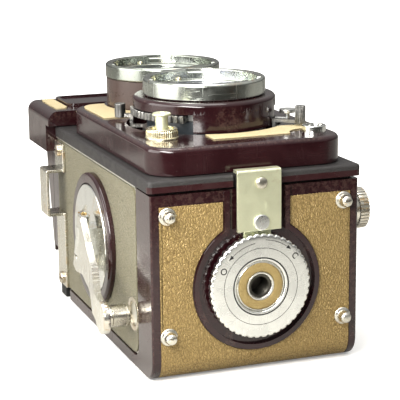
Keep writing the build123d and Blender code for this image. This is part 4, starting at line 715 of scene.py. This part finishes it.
def feet():
    """Four feet, each in its own cup of the cover, at the places of the CAD's feet."""
    frame_feet = frame["nodes"]["feet"].data
    spots = np.empty(len(frame_feet.vertices) * 3)
    frame_feet.vertices.foreach_get("co", spots)
    spots = spots.reshape(-1, 3) / MM
    bottom, mid = low("feet")[2], middle("feet")
    stands_for = ("feet",)
    for side_x, side in ((-1, "right"), (1, "left")):
        for end_y, end in ((-1, "front"), (1, "rear")):
            own = spots[((spots[:, 0] - mid[0]) * side_x > 0) & ((spots[:, 1] - mid[1]) * end_y > 0)]
            tip = own[own[:, 2] < bottom + 0.3]
            x, y = (tip.min(0) + tip.max(0))[:2] / 2
            flange = np.hypot(own[:, 0] - x, own[:, 1] - y).max()
            foot("foot_%s_%s" % (side, end), x, y, flange, own[:, 2].max(), bottom, stands_for)
            stands_for = ()


STUD_X = 0.45
DOME_R, BUTTON_R = 1.65, 2.2


def latch_studs():
    """Domed stud and flat button riveted to the latch strap."""
    top, face = high("latch_studs")[2], low("latch_studs")[2]
    front = low("latch_studs")[1] + DOME_R
    rear = high("latch_studs")[1] - BUTTON_R
    dome = [(AXIS_R, top), (DOME_R, top), (DOME_R, face + 0.45, 0.6), (0.9, face + 0.02, 0.7),
            (AXIS_R, face)]
    turned("latch_stud_dome", dome, (STUD_X, front, 0), "z", KNOB_METAL, "latch",
           ("latch_studs",), turns=64)
    button = [(AXIS_R, top), (BUTTON_R, top), (BUTTON_R, face + 0.5, 0.2),
              (BUTTON_R - 0.3, face + 0.3, 0.2), (AXIS_R, face + 0.3)]
    turned("latch_stud_flat", button, (STUD_X, rear, 0), "z", ALUMINIUM, "latch",
           turns=64)


# ---- lenses ----------------------------------------------------------------------------
NOTCHES = [radians(turn) for turn in (75.0, 195.0, 315.0)]
NOTCH_HALF, NOTCH_SIDE, NOTCH_DEPTH = radians(14.5), radians(1.0), 0.85
RIM_WALL, CELL_WALL, RING_FLOOR = 2.5, 4.5, 2.0
PIN_R, PIN_TURN = 0.75, radians(24)     # each bayonet pin stands past its notch
BARREL_STEPS, BARREL_STEP = 6, 0.9


def bayonet(node, chrome):
    """Bayonet ring: rolled rim with three notches, a stepped bore and three pins."""
    mid, front, base = middle(node), low(node)[1], high(node)[1]
    outer = high(node)[0] - mid[0]
    bore, cell = outer - RIM_WALL, outer - CELL_WALL
    floor_y = base - RING_FLOOR

    def notched(t, r, h):
        near = np.zeros_like(t)
        for turn in NOTCHES:
            gap = np.abs((t - turn + pi) % (2 * pi) - pi)
            near = np.maximum(near, np.clip((NOTCH_HALF - gap) / NOTCH_SIDE, 0, 1))
        inner = np.clip((outer - 1.0 - r) / 0.15, 0, 1)
        inner = inner * np.clip((front + NOTCH_DEPTH - h) / 0.1, 0, 1)
        return r, h + NOTCH_DEPTH * near * inner

    corners = [(cell, base), (outer - 0.5, base), (outer, base - 0.3, 0.2), (outer, front + 0.5, 0.35),
               (outer - 0.45, front, 0.35), (outer - 1.02, front, 0.02), (outer - 1.16, front, 0.02),
               (bore + 0.25, front, 0.12), (bore, front + 0.3, 0.12), (bore, floor_y, 0.1),
               (cell + 0.5, floor_y, 0.1), (cell, floor_y + 0.3, 0.1)]
    turned(node + "_turned", corners, (mid[0], 0, mid[2]), "y", chrome, "lens_board",
           (node,), turns=360, shape=notched, loop=True)
    reach = bore - 0.25
    pin = [(AXIS_R, floor_y + 0.3), (PIN_R, floor_y + 0.3), (PIN_R, floor_y - 0.5, 0.3),
           (0.35, floor_y - 0.85, 0.3), (AXIS_R, floor_y - 0.9)]
    for i, turn in enumerate(NOTCHES):
        x = mid[0] + reach * cos(turn + PIN_TURN)
        z = mid[2] + reach * sin(turn + PIN_TURN)
        turned("%s_pin_%d" % (node, i + 1), pin, (x, 0, z), "y", COLLAR_NICKEL, "lens_board",
               turns=24)


def lens(node, ring, glass, depth):
    """Domed front element over a stepped black barrel with a closed end, set in its ring."""
    centre = (middle(ring)[0], 0, middle(ring)[2])
    edge = high(node)[0] - middle(ring)[0]
    face, back = low(node)[1], high(node)[1]
    dome = [(AXIS_R, back - 0.05), (edge - 0.3, back - 0.05), (edge, back - 0.4, 0.1),
            (edge, face + 1.15, 0.1), (edge * 0.86, face + 0.9, 1.0), (edge * 0.5, face + 0.28, 3.0),
            (AXIS_R, face)]
    turned(node + "_dome", dome, centre, "y", glass, "lens_board", (node,), ease=2.0)
    steps = [(edge, back + 0.1)]
    step = depth / BARREL_STEPS
    for i in range(BARREL_STEPS):
        r = edge - 1.0 - i * BARREL_STEP
        h = back + 0.1 + (i + 0.3) * step
        steps += [(r, h, 0.05), (r - 0.1, h + step * 0.8, 0.05)]
    end = back + depth
    steps += [(AXIS_R, end), (AXIS_R, end + 0.4), (edge, end + 0.4)]
    turned(node + "_barrel", steps, centre, "y", LENS_BLACK, "lens_board",
           ease=0.08, turns=96, loop=True)


# ---- crank grip and release --------------------------------------------------------------
GRIP_BORE = 0.96
COLLAR_BORE, COLLAR_FLANGE, COLLAR_FLUTES, FLUTE_DEPTH = 1.81, 0.2, 44, 0.22
STEM_R = 1.75


def crank_grip():
    """Turned sleeve with a shoulder at the arm and a groove near its inner end."""
    arm_end, free_end = low("crank_grip")[0], high("crank_grip")[0]
    mid = middle("crank_grip")
    radius = (high("crank_grip")[1] - low("crank_grip")[1]) / 2
    corners = [(GRIP_BORE, arm_end), (radius - 0.45, arm_end), (radius - 0.3, arm_end + 0.5),
               (radius - 0.3, arm_end + 0.9), (radius, arm_end + 1.0), (radius, free_end - 1.35),
               (radius - 0.35, free_end - 1.3), (radius - 0.35, free_end - 1.0),
               (radius, free_end - 0.95), (radius, free_end - 0.3, 0.3), (radius - 0.4, free_end),
               (GRIP_BORE, free_end)]
    turned("crank_grip_turned", corners, (0, mid[1], mid[2]), "x", KNOB_METAL, "crank_grip",
           ("crank_grip",), ease=0.08, turns=96, loop=True)


def release_collar():
    """Knurled collar on a thin flange."""
    mid = middle("release_collar")
    front, root = low("release_collar")[1], high("release_collar")[1]
    r = high("release_collar")[0] - mid[0] - COLLAR_FLANGE

    def knurl(t, radius, h):
        wave = 0.5 + 0.5 * np.cos(COLLAR_FLUTES * t)
        side = np.clip((radius - r + 0.5) / 0.4, 0, 1) * (h > front + 0.4) * (h < root - 0.45)
        return radius - FLUTE_DEPTH * wave * side, h

    corners = [(COLLAR_BORE, root), (r + COLLAR_FLANGE, root), (r + COLLAR_FLANGE, root - 0.5),
               (r - 0.05, root - 0.52), (r, root - 0.8), (r, front + 0.75), (r - 0.15, front + 0.5),
               (r - 0.2, front + 0.1, 0.1), (r - 0.35, front, 0.1), (r - 1.0, front, 0.1),
               (r - 1.1, front + 0.15, 0.1), (r - 1.1, front + 0.9), (COLLAR_BORE, front + 0.9)]
    turned("release_collar_knurled", corners, (mid[0], 0, mid[2]), "y", COLLAR_NICKEL,
           "lens_board", ("release_collar",), ease=0.08, turns=COLLAR_FLUTES * 6,
           shape=knurl, loop=True)


def release_button():
    """Mushroom button with a dished hole for the cable."""
    mid = middle("release_collar")
    top, root = low("release_button")[1], high("release_button")[1]
    cap = high("release_button")[0] - middle("release_button")[0]
    corners = [(AXIS_R, root), (STEM_R, root), (STEM_R, top + 0.8, 0.1), (cap - 0.1, top + 0.8, 0.1),
               (cap, top + 0.5, 0.2), (cap - 0.15, top + 0.12, 0.2), (1.6, top, 0.6), (1.2, top, 0.1),
               (0.9, top + 0.5, 0.1), (0.75, top + 2.0), (AXIS_R, top + 2.2)]
    turned("release_button_cap", corners, (mid[0], 0, mid[2]), "y", STRAP_NICKEL, "release_button",
           ("release_button",), ease=0.2, turns=96)


# ---- every other node: its finish and how far its edges are eased, in mm -------------------
FINISHES = [
    (BURGUNDY, 0.28, ("back_cover",)),
    (BURGUNDY, 0.3, ("lens_board", "nameplate_housing")),
    (BURGUNDY, 0.2, ("hood_lid", "hood_base", "name_plate", "lens_shroud")),
    (BURGUNDY, 0.12, ("crank_bezel",)),
    (TUBE_ENAMEL, 0.15, ("viewing_tube",)),
    (FRAME_GRAIN, 0.12, ("front_frame",)),
    (TRIM_METAL, 0.1, ("side_panels",)),
    (SIDE_LEATHER, 0.15, ("side_leathers",)),
    (BASE_LEATHER, 0.15, ("cover_leather",)),
    (FRONT_LEATHER, 0.1, ("board_leather", "nameplate_leather")),
    (TRIM_METAL, 0.08, ("side_trims",)),
    (MATT_BLACK, 0.12, ("body_casting", "pressure_plate", "rear_leaf", "side_leaf_right",
                        "side_leaf_left", "magnifier")),
    (NICKEL, 0.18, ("strap_lugs",)),
    (LUG_NICKEL, 0.06, ("lug_screws", "grip_eyelet")),
    (CHROME, 0.08, ("hinge_pin", "sync_socket")),
    (STRAP_NICKEL, 0.1, ("latch_plate",)),
    (KNOB_METAL, 0.06, ("focus_knob",)),
    (NICKEL, 0.05, ("take_up_knob", "supply_knob")),
    (SHUTTER_PAINT, 0.1, ("shutter_can",)),
    (DARK_NICKEL, 0.08, ("speed_ring", "cocking_lever", "sync_lever")),
    (ALUMINIUM, 0.08, ("aperture_lever",)),
    (HUB_CHROME, 0.06, ("crank_hub",)),
    (ARM_NICKEL, 0.2, ("crank_arm",)),
    (SPOOL_BLACK, 0.06, ("take_up_spool", "supply_spool")),
    (PLAIN_BRASS, 0.04, ("spool_gear", "drive_gear", "arm_pin")),
    (STEEL, 0.04, ("guide_rods", "pressure_springs")),
    (MIRROR, 0.05, ("reflex_mirror",)),
    (SCREEN, 0.05, ("focusing_screen",)),
    (GLASS_VIEWING, 0.05, ("magnifier_glass",)),
]
for finish, edge, nodes in FINISHES:
    for node in nodes:
        dressed(node, finish, edge)
lock_ring()
tripod_bush()
socket_disc()
ring_marks()
feet()
latch_studs()
bayonet("taking_bayonet", CHROME_TAKING)
bayonet("viewing_bayonet", CHROME_VIEWING_PAINTED_SHADE)
lens("taking_glass", "taking_bayonet", GLASS_TAKING, 9.0)
lens("viewing_glass", "viewing_bayonet", GLASS_VIEWING, 8.0)
crank_grip()
release_collar()
release_button()


# ---- floor, light and camera -------------------------------------------------------------
PALE, PALE_SPECK, SPECK_SCALE = (0.93, 0.93, 0.915), (0.945, 0.945, 0.935), 40.0
FLOOR_HALF = 4.0                        # metres
FLOOR_GLOW, FAR_GLOW = 0.24, 1.0        # how brightly the sheet shows near the camera and far off
GLOW_FROM, GLOW_TO = 0.06, 0.42         # metres from the camera's middle
# painted shade and light: the sheet shows the object a dimmed colour, banded dark and bright along z
PAINTED_SHADE_TONE = (0.46, 0.45, 0.42)           # what the sheet sends to the camera's own surfaces
PAINTED_LIGHT_AND_SHADE_BANDS = ((-0.20, -0.12, 0.10, 1.0),    # z in metres from and to, factor before and after:
              (0.30, 0.33, 1.0, 0.25),      # dark in front, a darker band behind the camera
              (0.37, 0.40, 1.0, 6.0))       # and a bright one past it
SKY_ABOVE, SKY_CRANK_SIDE, SKY_BASE, BACKGROUND = 0.80, 0.25, 0.05, 1.05
LIGHT_COLOUR = (1.0, 0.98, 0.95)
LIGHTS = (("side_box", (-520, -160, 60), (0, -10, 40), 420, 520, 3.2),
          ("top_box", (-60, -560, 0), (0, 0, 40), 460, 460, 3.0),
          ("front_strip", (-100, -95, -80), (-14, -4, 8), 50, 120, 0.44))
CAMERA_AT = Vector((-141.174, -107.049, -338.792))
CAMERA_AIM = Vector((0.33752, 0.22250, 0.91464))
CAMERA_UP = Vector((0.08778, -0.97487, 0.20475))
FOCAL_MM, SENSOR_MM = 127.16, 36.0


def floor_material():
    """Pale sheet: bright to the eye, clear from behind; what the object sees of it is painted shade and
    light.
    """
    made, tree, shader = material("pale_floor", Roughness=0.9, Specular_IOR_Level=0.1,
                                  Base_Color=(*PALE, 1.0))
    here = here_on(tree)
    speck = noise(tree, here, SPECK_SCALE, 4.0)
    tree.links.new(mixed(tree, speck, PALE, PALE_SPECK), shader.inputs["Base Color"])
    away = put(tree, "ShaderNodeVectorMath", {0: here, 1: (0.0, CAD_BOX[1][1], 0.045)},
               operation="DISTANCE").outputs["Value"]
    bright = spread(tree, away, GLOW_FROM, GLOW_TO, FLOOR_GLOW, FAR_GLOW)
    direct = put(tree, "ShaderNodeLightPath").outputs["Is Camera Ray"]
    glow = put(tree, "ShaderNodeEmission", {"Color": (1.0, 1.0, 0.99, 1),
                                            "Strength": maths(tree, "MULTIPLY", bright, direct)})
    lit = put(tree, "ShaderNodeAddShader", {0: shader.outputs[0], 1: glow.outputs[0]})
    clear = put(tree, "ShaderNodeBsdfTransparent")
    # painted shade and light in the sheet's colour to the object: dark in front, darker behind, bright
    # past it
    z = put(tree, "ShaderNodeSeparateXYZ", {0: here}).outputs["Z"]
    first, *others = [spread(tree, z, *painted_band) for painted_band in PAINTED_LIGHT_AND_SHADE_BANDS]
    tone = first
    for factor in others:
        tone = maths(tree, "MULTIPLY", tone, factor)
    painted_bounce = put(tree, "ShaderNodeBsdfDiffuse", {"Color": mixed(tree, tone, (0, 0, 0), PAINTED_SHADE_TONE)})
    seen = put(tree, "ShaderNodeMixShader", {0: direct, 1: painted_bounce.outputs[0], 2: lit.outputs[0]})
    behind = put(tree, "ShaderNodeNewGeometry").outputs["Backfacing"]
    both = put(tree, "ShaderNodeMixShader", {0: behind, 1: seen.outputs[0], 2: clear.outputs[0]})
    tree.links.new(both.outputs[0], tree.nodes["Material Output"].inputs["Surface"])
    return made


def floor():
    """The sheet that the camera's back lies on, its face towards the camera."""
    half, y = FLOOR_HALF, CAD_BOX[1][1] + 0.0002
    corners = [(-half, y, -half), (half, y, -half), (half, y, half), (-half, y, half)]
    mesh = bpy.data.meshes.new("floor")
    mesh.from_pydata(corners, [], [(0, 1, 2, 3)])
    mesh.materials.append(floor_material())
    sheet = bpy.data.objects.new("floor", mesh)
    bpy.context.scene.collection.objects.link(sheet)
    if mesh.polygons[0].normal.y > 0:
        mesh.flip_normals()


def world():
    """White for the camera; elsewhere light from above and from the crank's side."""
    made = bpy.data.worlds.new("studio")
    bpy.context.scene.world = made
    made.use_nodes = True
    tree = made.node_tree
    tree.nodes.clear()
    way = put(tree, "ShaderNodeSeparateXYZ", {0: put(tree, "ShaderNodeTexCoord").outputs["Generated"]})
    up = maths(tree, "MULTIPLY", way.outputs["Y"], -1.0)
    right = maths(tree, "MULTIPLY", way.outputs["X"], -1.0)
    above = spread(tree, up, -0.25, 1.0, 0.0, SKY_ABOVE)
    crank_side = spread(tree, right, 0.2, 1.0, 0.0, SKY_CRANK_SIDE)
    level = maths(tree, "ADD", maths(tree, "ADD", above, crank_side), SKY_BASE)
    seen = put(tree, "ShaderNodeBackground", {"Color": (1, 1, 1, 1), "Strength": BACKGROUND})
    light = put(tree, "ShaderNodeBackground", {"Color": (1.0, 0.985, 0.96, 1), "Strength": level})
    camera_ray = put(tree, "ShaderNodeLightPath").outputs["Is Camera Ray"]
    both = put(tree, "ShaderNodeMixShader", {0: camera_ray, 1: light.outputs[0], 2: seen.outputs[0]})
    out = put(tree, "ShaderNodeOutputWorld")
    tree.links.new(both.outputs[0], out.inputs["Surface"])


def softbox(name, at, target, width, height, watts):
    """Rectangular light, its places and sizes in mm, turned to face its target."""
    light = bpy.data.lights.new(name, "AREA")
    light.shape = "RECTANGLE"
    light.size, light.size_y = width * MM, height * MM
    light.energy = watts
    light.color = LIGHT_COLOUR
    lamp = bpy.data.objects.new(name, light)
    at, target = Vector(at) * MM, Vector(target) * MM
    facing = (target - at).to_track_quat("-Z", "Y").to_matrix().to_4x4()
    lamp.matrix_world = Matrix.Translation(at) @ facing
    bpy.context.scene.collection.objects.link(lamp)


def camera():
    """Long lens in front of the base, a little above it and towards the crank's side."""
    lens_data = bpy.data.cameras.new("camera")
    lens_data.lens, lens_data.sensor_width = FOCAL_MM, SENSOR_MM
    lens_data.clip_start, lens_data.clip_end = 0.01, 20.0
    eye = bpy.data.objects.new("camera", lens_data)
    back = -CAMERA_AIM.normalized()
    right = CAMERA_UP.cross(back).normalized()
    up = back.cross(right)
    eye.matrix_world = Matrix((
        (right.x, up.x, back.x, CAMERA_AT.x * MM), (right.y, up.y, back.y, CAMERA_AT.y * MM),
        (right.z, up.z, back.z, CAMERA_AT.z * MM), (0, 0, 0, 1)))
    bpy.context.scene.collection.objects.link(eye)
    bpy.context.scene.camera = eye


floor()
world()
for lamp in LIGHTS:
    softbox(*lamp)
camera()
bpy.context.scene.view_settings.view_transform = "Standard"
